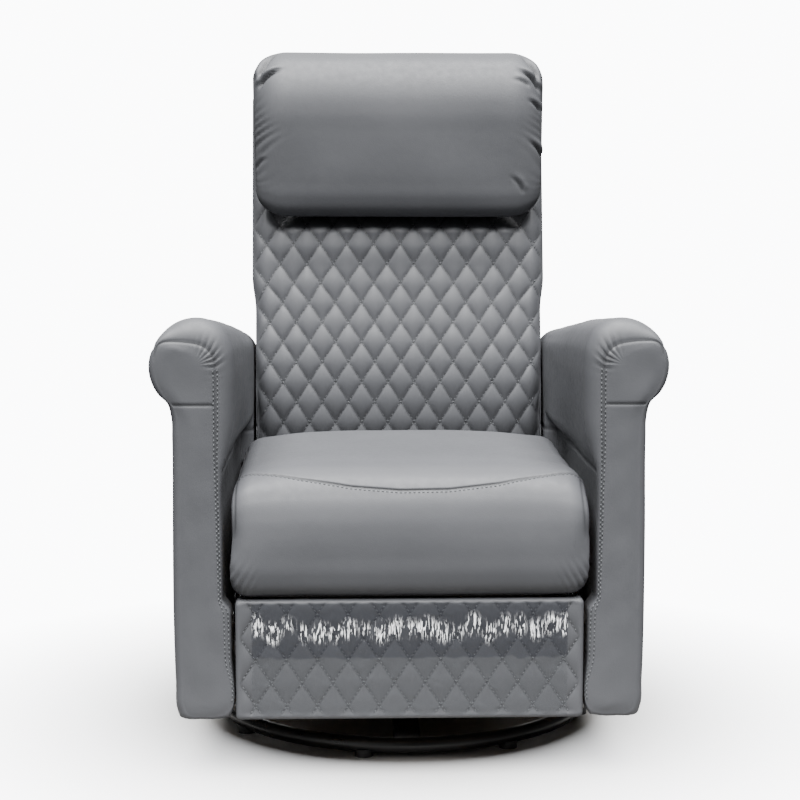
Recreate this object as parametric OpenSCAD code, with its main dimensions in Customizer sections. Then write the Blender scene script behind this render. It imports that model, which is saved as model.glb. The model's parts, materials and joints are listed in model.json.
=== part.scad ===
// Swivel rocker recliner: padded armchair on a turning ring base, with a folding legrest and
// a reclining back. Millimetres, +Z up, the front faces -Y, the swivel axis is the Z axis.

/* [Seat and arms] */
// Width of the seat cushion
seat_w = 524; // [500:2:560]
// Depth of the seat from its front bulge to the backrest
seat_d = 517; // [500:1:540]
// Height of the seat cushion's crown above the floor
seat_h = 457; // [448:1:475]
// Distance of the seat's front bulge ahead of the swivel axis
seat_reach = 405; // [395:1:415]
// Gap between the seat cushion and each arm
side_gap = 10; // [8:1:16]
// Thickness of an arm below its roll
arm_t = 71; // [66:1:85]
// Overhang of the arm's roll beyond its outer side
roll_out = 32; // [15:1:40]
// Height of the arm's top at the front
arm_h = 669; // [640:1:700]
// Drop of the arm's top from front to rear
arm_slope = 44; // [20:1:60]
// Height of the arm's underside above the floor
arm_clear = 86; // [80:1:95]

/* [Backrest] */
// Overall depth of the chair with its back upright
chair_d = 810; // [790:1:830]
// Height of the head pillow's top above the floor
chair_h = 1088; // [1070:1:1110]
// Width of the back cushion
back_w = 494; // [470:2:498]
// Rake of the upright backrest from vertical, in degrees
rake = 11.5; // [9:0.5:14]
// Thickness of the head pillow ahead of the back cushion
pillow_t = 92; // [70:1:110]
// Width of the head pillow
pillow_w = 498; // [470:2:520]
// Width of one quilted diamond
diamond_w = 45; // [36:1:60]
// Height of one quilted diamond
diamond_h = 68; // [50:1:90]

/* [Legrest] */
// Width of the legrest pad
pad_w = 508; // [480:2:516]
// Thickness of the legrest pad
pad_t = 33; // [26:1:40]
// Height of the legrest pad
pad_h = 178; // [165:1:184]
// Length of the legrest drive link between its pivots
drive_len = 165; // [160:0.5:168]
// Length of the legrest carrier link between its pivots
carrier_len = 260.2; // [252:0.2:264]

/* [Base] */
// Radius of the floor ring, over its tube
ring_r = 308; // [290:1:330]
// Radius of the ring's tube
ring_tube_r = 12; // [10:0.5:14]
// Height of the floor glides
glide_h = 6; // [4:0.5:8]
// Number of floor glides round the ring
glide_count = 8; // [6:1:12]
// Radius of the balls in the swivel bearing
ball_r = 5; // [4:0.5:6]
// Radius of the rocking cams' lower edge
cam_r = 150; // [130:5:180]
// Width of each rocking cam
cam_w = 30; // [20:1:36]
// Number of turns in each rocking spring
spring_turns = 8; // [6:1:10]

/* [Hidden] */
$fn = 48;

// One overrun for every cut, the running clearance of pins, and the gap round soft pieces
over = 1;
run_gap = 0.05;
soft_gap = 0.3;

// Steel plates of the mechanism and how far apart they run
plate_t = 3;
link_gap = 0.5;
link_w = 22;
rail_t = 4;
slide_gap = 3;
spacer_t = 6;
rivet_r = 4;
head_r = 7;
head_t = 2;
head_gap = 0.25;

// Side positions, from the arm's lower inner face inward: the arms clear the seat and the back
arm_inner_bulge = 20;
back_gap = 5;
arm_in = max(seat_w / 2 + side_gap, back_w / 2 + back_gap + arm_inner_bulge);
rail_out = arm_in - spacer_t;
rail_in = rail_out - rail_t;
plate_out = rail_in - slide_gap;
plate_in = plate_out - plate_t;
link_step = plate_t + link_gap;
stay_x = plate_in - link_step;
follower_x = stay_x - link_step;
carrier_x = follower_x - link_step;
drive_x = carrier_x - link_step;

// Floor ring, spider and bearing, stacked from the floor up
ring_z = glide_h + ring_tube_r;
ring_mid_r = ring_r - ring_tube_r;
glide_r = 14;
front_angle = 270;
glide_turn = 13;
glide_stem_r = 5;
spider_w = 40;
spider_h = 16;
spider_top = ring_z + spider_h / 2 + 2 * over;
hub_r = 62;
bearing_r = 80;
bearing_t = 3;
ball_ring_r = 60;
ball_count = 18;
cage_t = 4;
cage_w = 22;
groove_d = 1;
bearing_top = spider_top + bearing_t;
upper_z = bearing_top + 2 * ball_r + 2 * run_gap - 2 * groove_d;
bolt_r = 10;
bolt_head_r = 17;
bolt_head_h = 6;
nut_r = 16;
nut_h = 8;
washer_gap = 0.3;

// Turning frame with the two tracks that the cams roll on
hub_plate_r = 95;
hub_plate_t = 5;
bar = 25;
bar_y = 60;
track_len = 116;
track_end_r = 50;
cam_gap = 0.6;
cam_x = 150;
cam_len = 190;
cam_slope = 12;
deck_z = 115;
frame_z = upper_z + bearing_t;
bar_z = frame_z + hub_plate_t;
track_z = bar_z + bar;

// Rocking cams, the tubes that they carry and the springs between
tube_z = 170;
tube = 25;
tube_front_y = -34.5;
tube_rear_y = 72.5;
spring_x = 118;
spring_r = 16;
wire_r = 2.6;
spring_plate_t = 5;
spring_plate_w = 50;
spring_seat_t = 3;

// Base rails, from the front to the rear apron, and the slots that guide the seat
apron_y = 262;
rail_z0 = 165;
rail_h = 97;
rail_front = 226;
slot_z = 243;
slot_travel = 60;
slot_angle = 4;
pin_r = 6;
collar_r = 9;
pin_front_y = -140;
pin_rear_y = 150;

// Seat plates, with an ear that carries the back's pivot
seat_plate_z0 = 225;
seat_plate_h = 95;
seat_plate_front = 292;
seat_plate_rear = 200;
pivot_y = 165;
pivot_z = 335;
ear_r = 18;

// Seat frame of timber rails
timber_t = 25;
timber_h = 50;
side_rail_t = 28;
deck_h = 335;
rail_front_y = -335;
rear_rail_y = 55;
wire_seat_r = 2.2;
wire_seat_count = 5;
wire_seat_bends = 10;
wire_seat_w = 44;

// Legrest linkage: pivots on the seat plate, then each next pivot from the one before
drive_angle = -35;
carrier_angle = 179.43;
follower_back = 56.6;
meet_along = 60;
stay_before = 30;
bracket_up = 55;
tube_r = 9;
tube_wall = 1.5;
drive_pivot = [-205, 242];
function along(p, len, a) = [p[0] + len * cos(a), p[1] + len * sin(a)];
function bearing_of(p, q) = atan2(q[1] - p[1], q[0] - p[0]);
knee = along(drive_pivot, drive_len, drive_angle);
board_pivot = along(knee, carrier_len, carrier_angle);
follower_pivot = [drive_pivot[0] - follower_back, drive_pivot[1]];
meet = along(knee, meet_along, carrier_angle);
follower_len = norm(meet - follower_pivot);
follower_angle = bearing_of(follower_pivot, meet);
stay_root = along(follower_pivot, follower_len - stay_before, follower_angle);
stay_pivot = [board_pivot[0], board_pivot[1] + bracket_up];

// Legrest board, its pad and the clear film over the pad
board_t = 15;
board_back = 15;
board_h = 160;
board_drop = 55;
board_y = board_pivot[0] - board_back;
board_z = board_pivot[1] - board_drop;
pad_y = board_y - board_t;
pad_z = board_z - (pad_h - board_h) / 2;
film_t = 0.6;
film_w = 460;
film_h = 168;
bracket_h = 80;
bracket_low = 12;
flange_t = 3;
flange_w = 30;
screw_r = 3;

// Arms
arm_front_y = -395;
arm_rear_y = 275;
frame_skin = 4;
frame_t = 50;
frame_front = 25;
frame_top = 545;
frame_rail = 45;
frame_base_h = 125;
arm_bolt_r = 4;
arm_bolt_z = 185;
arm_bolt_y = 150;
arm_bolt_len = 34;
seam_in = 7;
seam_top = 27;
gusset_h = 450;
roll_under = 545;

// Rear apron between the arms
apron_t = 13;
apron_top = 290;
apron_bottom = 150;

// Flush release on the outer side of the arm on the -X side
bezel_y = -120;
bezel_z = 440;
bezel_len = 116;
bezel_h = 62;
bezel_wall = 3;
bezel_depth = 24;
bezel_lip = 5;
bezel_proud = 2;
bezel_pin_r = 3;
paddle_t = 6;
paddle_len = 88;
paddle_h = 34;
cable_r = 3;
cable_drop = 196;

// Backrest, laid out upright in its own frame from the pivot and then raked
post_w = 38;
post_depth_share = 0.213;
bracket_t = 3;
panel_t = 4;
back_front = 76;
back_s0 = 5;
frame_s0 = -22;
strap_t = 2;
strap_w = 50;
strap_count = 7;
pillow_over = 53;
pillow_tall = 285;
bracket_arm = 70;
pillow_top = (chair_h - pivot_z - back_front * sin(rake)) / cos(rake);
pillow_s0 = pillow_top - pillow_tall;
back_s1 = pillow_top - pillow_over;
back_rear = (chair_d - seat_reach - pivot_y - back_s1 * sin(rake)) / cos(rake);
post_d = (back_front + back_rear) * post_depth_share;
post_rear = back_rear - panel_t;
post_front = post_rear - post_d;

leather = [0.43, 0.44, 0.45];
black_steel = [0.08, 0.08, 0.085];
zinc = [0.62, 0.63, 0.64];
timber = [0.72, 0.56, 0.36];

// Small helpers

function mix(a, b, t) = a + (b - a) * t;

module both_sides() {
  children();
  mirror([1, 0, 0]) children();
}

// A flat shape drawn in Y and Z, standing from x0 for a thickness t
module plate_x(x0, t) {
  translate([x0, 0, 0]) rotate([90, 0, 90]) linear_extrude(t) children();
}

// A round bar along X from x0 to x1 at a point in Y and Z
module rod_x(x0, x1, r, at) {
  translate([x0, at[0], at[1]]) rotate([0, 90, 0]) cylinder(r = r, h = x1 - x0);
}

// A round-ended bar in the flat between two points
module bar_2d(p, q, w) {
  a = bearing_of(p, q);
  side = [-sin(a) * w / 2, cos(a) * w / 2];
  translate(p) circle(d = w);
  translate(q) circle(d = w);
  polygon([p + side, p - side, q - side, q + side]);
}

module block(lo, hi) {
  translate(lo) cube(hi - lo);
}

// A closed skin through rings of points, its quads split in turn so that ridges cross as diamonds
module loft(rings, cap_a, cap_b) {
  m = len(rings);
  n = len(rings[0]);
  points = concat([for (ring = rings) each ring], [cap_a, cap_b]);
  walls = [for (j = [0 : m - 2], i = [0 : n - 1])
    let (a = j * n + i, b = j * n + (i + 1) % n, c = a + n, d = b + n)
    each ((i + j) % 2 == 0 ? [[a, b, d], [a, d, c]] : [[a, b, c], [b, d, c]])];
  first = [for (i = [0 : n - 1]) [m * n, (i + 1) % n, i]];
  last = [for (i = [0 : n - 1]) [m * n + 1, (m - 1) * n + i, (m - 1) * n + (i + 1) % n]];
  polyhedron(points, concat(walls, first, last));
}

// A tube of a few sides swept along points, each ring square to the way the points go
function unit(v) = v / norm(v);
function sweep_ring(path, i, r, sides) =
  let (
    way = unit(path[min(i + 1, len(path) - 1)] - path[max(i - 1, 0)]),
    flat = abs(way[2]) > 0.9 ? [0, 1, 0] : [0, 0, 1],
    u = unit(cross(flat, way)),
    v = cross(u, way))
  [for (k = [0 : sides - 1]) path[i] + r * cos(360 * k / sides) * u + r * sin(360 * k / sides) * v];

module sweep(path, r, sides) {
  rings = [for (i = [0 : len(path) - 1]) sweep_ring(path, i, r, sides)];
  loft(rings, path[0], path[len(path) - 1]);
}

// Floor ring, spider and bearing

module base_ring() {
  color(black_steel) difference() {
    translate([0, 0, ring_z]) rotate_extrude() translate([ring_mid_r, 0]) circle(r = ring_tube_r);
    glide_places() cylinder(r = glide_stem_r, h = ring_z);
  }
}

module glide_places() {
  for (k = [0 : glide_count - 1]) {
    rotate(front_angle - glide_turn + 360 * k / glide_count) translate([ring_mid_r, 0, 0]) children();
  }
}

module ring_glides() {
  color([0.1, 0.1, 0.1]) glide_places() {
    difference() {
      cylinder(r = glide_r, h = ring_z - ring_tube_r / 2);
      glide_cut();
    }
    cylinder(r = glide_stem_r, h = ring_z);
  }
}

// The ring's tube, taken out of what seats against it
module glide_cut() {
  translate([-ring_mid_r, 0, ring_z]) rotate_extrude() translate([ring_mid_r, 0]) circle(r = ring_tube_r);
}

module base_spider() {
  color(black_steel) difference() {
    translate([0, 0, spider_top - spider_h]) union() {
      cylinder(r = hub_r, h = spider_h);
      for (a = [0, 90]) {
        rotate(a) translate([-ring_mid_r, -spider_w / 2, 0]) cube([2 * ring_mid_r, spider_w, spider_h]);
      }
    }
    translate([0, 0, ring_z]) rotate_extrude() translate([ring_mid_r, 0]) circle(r = ring_tube_r);
    translate([0, 0, spider_top - spider_h - over]) cylinder(r = bolt_r + run_gap, h = spider_h + 2 * over);
  }
}

// One race: a flat ring with a round groove for the balls
module race(z0, groove_z) {
  difference() {
    translate([0, 0, z0]) cylinder(r = bearing_r, h = bearing_t);
    translate([0, 0, z0 - over]) cylinder(r = bolt_r + run_gap, h = bearing_t + 2 * over);
    translate([0, 0, groove_z]) rotate_extrude() translate([ball_ring_r, 0]) circle(r = ball_r + run_gap);
  }
}

ball_z = (bearing_top + upper_z) / 2;

module bearing_lower() {
  color(zinc) race(spider_top, ball_z);
}

module bearing_upper() {
  color(zinc) race(upper_z, ball_z);
}

module ball_places() {
  for (k = [0 : ball_count - 1]) {
    rotate(360 * k / ball_count) translate([ball_ring_r, 0, ball_z]) children();
  }
}

module bearing_balls() {
  color([0.8, 0.8, 0.82]) ball_places() sphere(r = ball_r);
}

module bearing_cage() {
  color([0.85, 0.82, 0.7]) difference() {
    translate([0, 0, ball_z - cage_t / 2]) difference() {
      cylinder(r = ball_ring_r + cage_w / 2, h = cage_t);
      translate([0, 0, -over]) cylinder(r = ball_ring_r - cage_w / 2, h = cage_t + 2 * over);
    }
    ball_places() translate([0, 0, -cage_t]) cylinder(r = ball_r + run_gap, h = 2 * cage_t);
  }
}

module centre_bolt() {
  low = spider_top - spider_h - nut_h;
  color(zinc) {
    translate([0, 0, low]) cylinder(r = bolt_r, h = bar_z - low + over);
    translate([0, 0, bar_z]) cylinder(r = bolt_head_r, h = bolt_head_h, $fn = 6);
  }
}

module centre_nut() {
  top = spider_top - spider_h - washer_gap;
  color(zinc) difference() {
    translate([0, 0, top - nut_h + washer_gap]) cylinder(r = nut_r, h = nut_h - washer_gap, $fn = 6);
    translate([0, 0, top - nut_h - over]) cylinder(r = bolt_r, h = nut_h + 2 * over);
  }
}

// Turning frame

module swivel_frame() {
  reach = cam_x + cam_w;
  color(black_steel) difference() {
    union() {
      translate([0, 0, frame_z]) cylinder(r = hub_plate_r, h = hub_plate_t);
      for (y = [-bar_y, bar_y]) {
        block([-reach, y - bar / 2, bar_z], [reach, y + bar / 2, bar_z + bar]);
      }
      spring_places() translate([0, 0, track_z - bar / 2])
        cylinder(r = spring_r + 2 * wire_r, h = bar / 2 + spring_seat_t);
    }
    translate([0, 0, frame_z - over]) cylinder(r = bolt_r, h = hub_plate_t + 2 * over);
  }
}

// Track: a timber block whose crowned top slopes away to both sides of the line of contact
module rocker_track(side) {
  top = deck_z - cam_gap;
  half = track_len / 2;
  dy = track_end_r * sin(cam_slope);
  dz = track_end_r * (1 - cos(cam_slope));
  fall = dz + (half - dy) * tan(cam_slope);
  color(timber) plate_x(side < 0 ? -cam_x - cam_w : cam_x, cam_w) {
    polygon([[-half, track_z], [half, track_z], [half, top - fall], [dy, top - dz], [-dy, top - dz],
      [-half, top - fall]]);
    intersection() {
      translate([0, top - track_end_r]) circle(r = track_end_r, $fn = 96);
      polygon([[-dy, top - dz - over], [dy, top - dz - over], [dy, top + over], [-dy, top + over]]);
    }
  }
}

module rocker_track_left() {
  rocker_track(-1);
}

module rocker_track_right() {
  rocker_track(1);
}

// Rocking springs: open coils that stand between the turning frame and the plates under the tubes
spring_z0 = track_z + spring_seat_t;
spring_z1 = tube_z - spring_plate_t;
spring_rings = 8;
spring_sides = 6;
spring_span = spring_z1 - spring_z0 - 2 * wire_r - 2 * soft_gap;
function coil_points(turns) = [for (i = [0 : turns * spring_rings])
  [spring_r * cos(360 * i / spring_rings), spring_r * sin(360 * i / spring_rings),
    spring_z0 + wire_r + soft_gap + spring_span * i / (turns * spring_rings)]];
coil_gap = min([for (i = [0 : spring_rings - 1])
  norm(coil_points(spring_turns)[i + spring_rings] - coil_points(spring_turns)[i])]) - 2 * wire_r;
echo(least_gap_in_rocking_spring = coil_gap);

module spring_places() {
  for (x = [-spring_x, spring_x], y = [-bar_y, bar_y]) {
    translate([x, y, 0]) children();
  }
}

module rocker_springs() {
  color([0.3, 0.3, 0.32]) spring_places() sweep(coil_points(spring_turns), wire_r, spring_sides);
}

// Rocking cams and the underframe

module rocker_cam(side) {
  half = cam_len / 2;
  color(timber) plate_x(side < 0 ? -cam_x - cam_w : cam_x, cam_w) intersection() {
    translate([0, deck_z + cam_r]) circle(r = cam_r, $fn = 180);
    translate([-half, deck_z - over]) square([cam_len, tube_z - deck_z + over]);
  }
}

module rocker_cam_left() {
  rocker_cam(-1);
}

module rocker_cam_right() {
  rocker_cam(1);
}

module spring_plates() {
  inner = spring_x - spring_plate_w / 2;
  reach = bar_y + spring_plate_w / 2;
  color(black_steel) both_sides() {
    block([inner, -reach, tube_z - spring_plate_t], [cam_x, reach, tube_z]);
  }
}

module cross_tube(y) {
  wall = plate_t;
  color(black_steel) difference() {
    block([-rail_in, y - tube / 2, tube_z], [rail_in, y + tube / 2, tube_z + tube]);
    block([-rail_in - over, y - tube / 2 + wall, tube_z + wall],
      [rail_in + over, y + tube / 2 - wall, tube_z + tube - wall]);
  }
}

module cross_tube_front() {
  cross_tube(tube_front_y);
}

module cross_tube_rear() {
  cross_tube(tube_rear_y);
}

slot_end = [-slot_travel * cos(slot_angle), slot_travel * sin(slot_angle)];

module base_rail_right() {
  color(black_steel) plate_x(rail_in, rail_t) difference() {
    translate([-rail_front, rail_z0]) square([rail_front + apron_y, rail_h]);
    for (y = [pin_front_y, pin_rear_y]) {
      bar_2d([y, slot_z], [y, slot_z] + slot_end, 2 * (pin_r + run_gap));
    }
    for (y = [-arm_bolt_y, arm_bolt_y]) {
      translate([y, arm_bolt_z]) circle(r = arm_bolt_r);
    }
  }
}

module base_rail_left() {
  mirror([1, 0, 0]) base_rail_right();
}

// Arms: a timber frame inside a padded cover

frame_x = arm_in + frame_skin;
frame_y0 = arm_front_y + frame_front;
frame_y1 = arm_rear_y - frame_front;

module arm_frame_right() {
  color(timber) difference() {
    block([frame_x, frame_y0, arm_clear], [frame_x + frame_t, frame_y1, frame_top]);
    block([frame_x - over, frame_y0 + frame_rail, arm_clear + frame_base_h],
      [frame_x + frame_t + over, frame_y1 - frame_rail, frame_top - frame_rail]);
    for (y = [-arm_bolt_y, arm_bolt_y]) {
      rod_x(frame_x - over, frame_x + arm_bolt_len - spacer_t - frame_skin, arm_bolt_r, [y, arm_bolt_z]);
    }
  }
}

module arm_frame_left() {
  mirror([1, 0, 0]) arm_frame_right();
}

// Outline of an arm in X and Z at its fullest, for a top at height h; x runs outward
arm_out = arm_in + arm_t;
roll_x = arm_out + roll_out;
function arm_outline(h) =
  let (
    low = arm_clear,
    roll = h - roll_under,
    bulge = arm_in - arm_inner_bulge)
  [
    [arm_in, low], [arm_in, mix(low, gusset_h, 0.5)], [arm_in, gusset_h],
    [mix(arm_in, bulge, 0.3), mix(gusset_h, h, 0.1)], [mix(arm_in, bulge, 0.8), mix(gusset_h, h, 0.3)],
    [bulge, mix(gusset_h, h, 0.52)], [mix(arm_in, bulge, 0.98), mix(gusset_h, h, 0.7)],
    [mix(arm_in, bulge, 0.68), h - roll * 0.3], [arm_in, h - roll * 0.12],
    [mix(arm_in, roll_x, 0.22), h - roll * 0.02], [mix(arm_in, roll_x, 0.4), h],
    [mix(arm_in, roll_x, 0.62), h - roll * 0.05], [mix(arm_in, roll_x, 0.82), h - roll * 0.17],
    [mix(arm_in, roll_x, 0.95), h - roll * 0.33], [roll_x, h - roll * 0.5],
    [roll_x - roll_out * 0.06, h - roll * 0.66], [roll_x - roll_out * 0.4, h - roll * 0.85],
    [roll_x - roll_out * 0.8, roll_under + roll * 0.05], [arm_out, roll_under - roll * 0.2],
    [arm_out, mix(low, roll_under, 0.6)], [arm_out, mix(low, roll_under, 0.3)],
    [arm_out - seam_in * 0.5, low + seam_in], [arm_out - seam_in * 2, low]];

// The same outline drawn in to the seam of the front facing
function arm_facing(h) = [for (p = arm_outline(h)) [
  max(p[0] < arm_out - arm_t / 2 ? max(p[0], arm_in + seam_in) : p[0] - seam_in / 3, arm_in + seam_in),
  min(p[1], h - seam_top)]];

arm_station_shares = [0, 0.01, 0.035, 0.08, 0.25, 0.5, 0.75, 0.94, 0.985, 1];
arm_fullness_shares = [0, 0.55, 0.9, 1, 1, 1, 1, 1, 0.75, 0.3];

module arm_skin() {
  mid = [arm_in + arm_t / 2, mix(arm_clear, arm_h, 0.5)];
  rings = [for (k = [len(arm_station_shares) - 1 : -1 : 0])
    let (
      s = arm_station_shares[k],
      y = mix(arm_front_y, arm_rear_y, s),
      h = arm_h - arm_slope * s,
      full = arm_outline(h),
      thin = arm_facing(h))
    [for (i = [0 : len(full) - 1])
      let (p = mix(thin[i], full[i], arm_fullness_shares[k])) [p[0], y, p[1]]]];
  loft(rings, [mid[0], arm_rear_y, mid[1]], [mid[0], arm_front_y, mid[1]]);
}

// What the arm's cover leaves open: the frame's place and the bolt holes
module arm_hollow() {
  block([frame_x, frame_y0, arm_clear - over], [frame_x + frame_t, frame_y1, frame_top]);
  for (y = [-arm_bolt_y, arm_bolt_y]) {
    rod_x(arm_in - over, frame_x + over, arm_bolt_r, [y, arm_bolt_z]);
  }
}

module arm_cover_right() {
  color(leather) difference() {
    arm_skin();
    arm_hollow();
  }
}

bezel_x = -arm_out;

module arm_cover_left() {
  color(leather) difference() {
    mirror([1, 0, 0]) arm_skin();
    mirror([1, 0, 0]) arm_hollow();
    block([bezel_x - over, bezel_y - bezel_len / 2, bezel_z - bezel_h / 2],
      [bezel_x + bezel_depth, bezel_y + bezel_len / 2, bezel_z + bezel_h / 2]);
    rod_x(-frame_x - over, -arm_in + over, cable_r, cable_exit);
  }
}

module arm_bolts() {
  head = plate_t + slide_gap / 3;
  color(zinc) both_sides() for (y = [-arm_bolt_y, arm_bolt_y]) {
    rod_x(rail_in - head, rail_in, head_r, [y, arm_bolt_z]);
    rod_x(rail_in - over, rail_out + arm_bolt_len, arm_bolt_r, [y, arm_bolt_z]);
    rod_x(rail_out, arm_in, collar_r, [y, arm_bolt_z]);
  }
}

module rear_apron() {
  half = arm_in - soft_gap;
  color(leather) block([-half, apron_y, apron_bottom], [half, apron_y + apron_t, apron_top]);
}

// Flush release: a cup let into the arm, a paddle hinged along its top edge, and its cable

cable_exit = [bezel_y, bezel_z - cable_drop];

module release_bezel() {
  half = [bezel_len / 2, bezel_h / 2];
  x0 = bezel_x - bezel_proud;
  x1 = bezel_x + bezel_depth;
  color([0.06, 0.06, 0.065]) difference() {
    union() {
      block([bezel_x, bezel_y - half[0], bezel_z - half[1]], [x1, bezel_y + half[0], bezel_z + half[1]]);
      block([x0, bezel_y - half[0] - bezel_lip, bezel_z - half[1] - bezel_lip],
        [bezel_x, bezel_y + half[0] + bezel_lip, bezel_z + half[1] + bezel_lip]);
    }
    block([x0 - over, bezel_y - half[0] + bezel_wall, bezel_z - half[1] + bezel_wall],
      [x1 - bezel_wall, bezel_y + half[0] - bezel_wall, bezel_z + half[1] - bezel_wall]);
    translate([paddle_axis[0], bezel_y - half[0] - over, paddle_axis[1]])
      rotate([-90, 0, 0]) cylinder(r = bezel_pin_r + run_gap, h = bezel_len + 2 * over);
  }
}

paddle_axis = [bezel_x + paddle_t, bezel_z + bezel_h / 2 - bezel_wall - 2 * bezel_pin_r];

module release_paddle() {
  half = bezel_len / 2 - soft_gap;
  color([0.09, 0.09, 0.095]) {
    translate([paddle_axis[0], bezel_y - half, paddle_axis[1]])
      rotate([-90, 0, 0]) cylinder(r = bezel_pin_r, h = 2 * half);
    translate([paddle_axis[0], bezel_y - paddle_len / 2, paddle_axis[1]])
      rotate([-90, 0, 0]) cylinder(r = paddle_t / 2 + bezel_pin_r / 2, h = paddle_len);
    block([paddle_axis[0] - paddle_t, bezel_y - paddle_len / 2, paddle_axis[1] - paddle_h],
      [paddle_axis[0], bezel_y + paddle_len / 2, paddle_axis[1]]);
  }
}

// The cable leaves the cup's floor, drops inside the arm and ends at the base rail
cable_turn = 18;
cable_start = bezel_x + bezel_depth;
cable_mid = -frame_x - frame_t / 3;
cable_z0 = bezel_z - bezel_h / 4;
cable_points = [
  [cable_start, bezel_y, cable_z0],
  [mix(cable_start, cable_mid, 0.6), bezel_y, cable_z0],
  [cable_mid, bezel_y, cable_z0 - cable_turn / 3],
  [cable_mid, bezel_y, cable_z0 - cable_turn],
  [cable_mid, bezel_y, mix(cable_z0, cable_exit[1], 0.4)],
  [cable_mid, bezel_y, mix(cable_z0, cable_exit[1], 0.7)],
  [cable_mid, bezel_y, cable_exit[1] + cable_turn],
  [mix(cable_mid, -frame_x, 0.3), bezel_y, cable_exit[1] + cable_turn / 4],
  [mix(cable_mid, -frame_x, 0.8), bezel_y, cable_exit[1]],
  [-frame_x, bezel_y, cable_exit[1]],
  [-rail_out, bezel_y, cable_exit[1]]];

module release_cable() {
  color([0.05, 0.05, 0.05]) sweep(cable_points, cable_r - soft_gap / 2, 8);
}

// Seat plates and the pins that ride in the rails' slots

module seat_plate_right() {
  z1 = seat_plate_z0 + seat_plate_h;
  len = seat_plate_front + seat_plate_rear;
  color(black_steel) plate_x(plate_in, plate_t) difference() {
    union() {
      translate([-seat_plate_front, seat_plate_z0]) square([len, seat_plate_h]);
      translate([pivot_y - ear_r, z1 - over]) square([2 * ear_r, pivot_z - z1 + over]);
      translate([pivot_y, pivot_z]) circle(r = ear_r);
    }
    for (p = [drive_pivot, follower_pivot, [pivot_y, pivot_z]]) {
      translate(p) circle(r = rivet_r);
    }
    for (y = [pin_front_y, pin_rear_y]) {
      translate([y, slot_z]) circle(r = pin_r);
    }
  }
}

module seat_plate_left() {
  mirror([1, 0, 0]) seat_plate_right();
}

module guide_pins() {
  color(zinc) both_sides() for (y = [pin_front_y, pin_rear_y]) {
    rod_x(plate_in, rail_out + head_gap, pin_r, [y, slot_z]);
    rod_x(plate_out, rail_in - head_gap, collar_r, [y, slot_z]);
    rod_x(rail_out + head_gap, rail_out + spacer_t / 2, collar_r, [y, slot_z]);
  }
}

// Timber seat frame and its sinuous springs

module seat_rail_front() {
  color(timber) block([-plate_in, rail_front_y, deck_h - timber_h],
    [plate_in, rail_front_y + timber_t, deck_h]);
}

module seat_rail_rear() {
  color(timber) block([-plate_in, rear_rail_y, deck_h - timber_h],
    [plate_in, rear_rail_y + timber_t, deck_h]);
}

module seat_rails_side() {
  color(timber) both_sides() {
    block([plate_in - side_rail_t, rail_front_y + timber_t, deck_h - timber_h],
      [plate_in, rear_rail_y, deck_h]);
  }
}

function sinuous(x) =
  let (
    y0 = rail_front_y + timber_t,
    y1 = rear_rail_y,
    step = (y1 - y0) / wire_seat_bends,
    straight = 2 * wire_seat_r,
    z = deck_h - wire_seat_r - soft_gap)
  concat([[x, y0, z], [x, y0 + straight, z]],
    [for (k = [0 : wire_seat_bends - 1], part = [[0.5, 0.2], [1, 0.36], [1, 0.64], [0.5, 0.8]])
      [x + (k % 2 == 0 ? 1 : -1) * part[0] * wire_seat_w / 2, y0 + step * (k + part[1]), z]],
    [[x, y1 - straight, z], [x, y1, z]]);

module seat_springs() {
  span = seat_w - 2 * side_rail_t - wire_seat_w - 2 * timber_t;
  color([0.35, 0.35, 0.37]) for (k = [0 : wire_seat_count - 1]) {
    sweep(sinuous(mix(-span / 2, span / 2, k / (wire_seat_count - 1))), wire_seat_r, 6);
  }
}

// Seat cushion: a waterfall profile in Y and Z, carried across and drawn in towards its sides
seat_front_y = -seat_reach;
drop_y = rail_front_y - soft_gap;
pad_lift = 4;
back_lean = 4;
drop_z = pad_z + pad_h + pad_lift;
seat_top_y = seat_front_y + seat_d - back_lean;
seat_foot_y = seat_top_y - (seat_h - deck_h) * tan(rake) - back_lean;
function seat_outline(crown) =
  let (
    top = seat_h - crown,
    base = deck_h + soft_gap,
    thick = seat_h - base,
    front = drop_y - seat_front_y)
  [
    [seat_foot_y, base], [mix(seat_foot_y, drop_y, 0.4), base], [drop_y + over, base],
    [drop_y, base], [drop_y, mix(base, drop_z, 0.55)], [drop_y, drop_z + front * 0.3],
    [drop_y - front * 0.12, drop_z + front * 0.1], [drop_y - front * 0.4, drop_z],
    [seat_front_y + front * 0.24, drop_z + front * 0.06], [seat_front_y + front * 0.06, drop_z + front * 0.3],
    [seat_front_y, mix(drop_z, base, 0.75)], [seat_front_y, base + thick * 0.2],
    [seat_front_y + front * 0.02, base + (top - base) * 0.52],
    [seat_front_y + front * 0.13, base + (top - base) * 0.76],
    [seat_front_y + front * 0.36, base + (top - base) * 0.92],
    [seat_front_y + front * 0.75, base + (top - base) * 0.985],
    [seat_front_y + front * 1.5, top], [mix(seat_front_y, seat_top_y, 0.5), top],
    [mix(seat_front_y, seat_top_y, 0.8), top - thick * 0.02],
    [seat_top_y - thick * 0.2, top - thick * 0.05], [seat_top_y - thick * 0.04, top - thick * 0.14],
    [mix(seat_top_y, seat_foot_y, 0.45), mix(top, base, 0.55)]];

// Places across the cushion, how far the outline is drawn in there, and the crown's fall
seat_across_shares = [-1, -0.985, -0.93, -0.8, -0.55, -0.25, 0, 0.25, 0.55, 0.8, 0.93, 0.985, 1];
seat_drawn_shares = [0.2, 0.09, 0.03, 0.01, 0, 0, 0, 0, 0, 0.01, 0.03, 0.09, 0.2];
seat_crown = 16;

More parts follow.
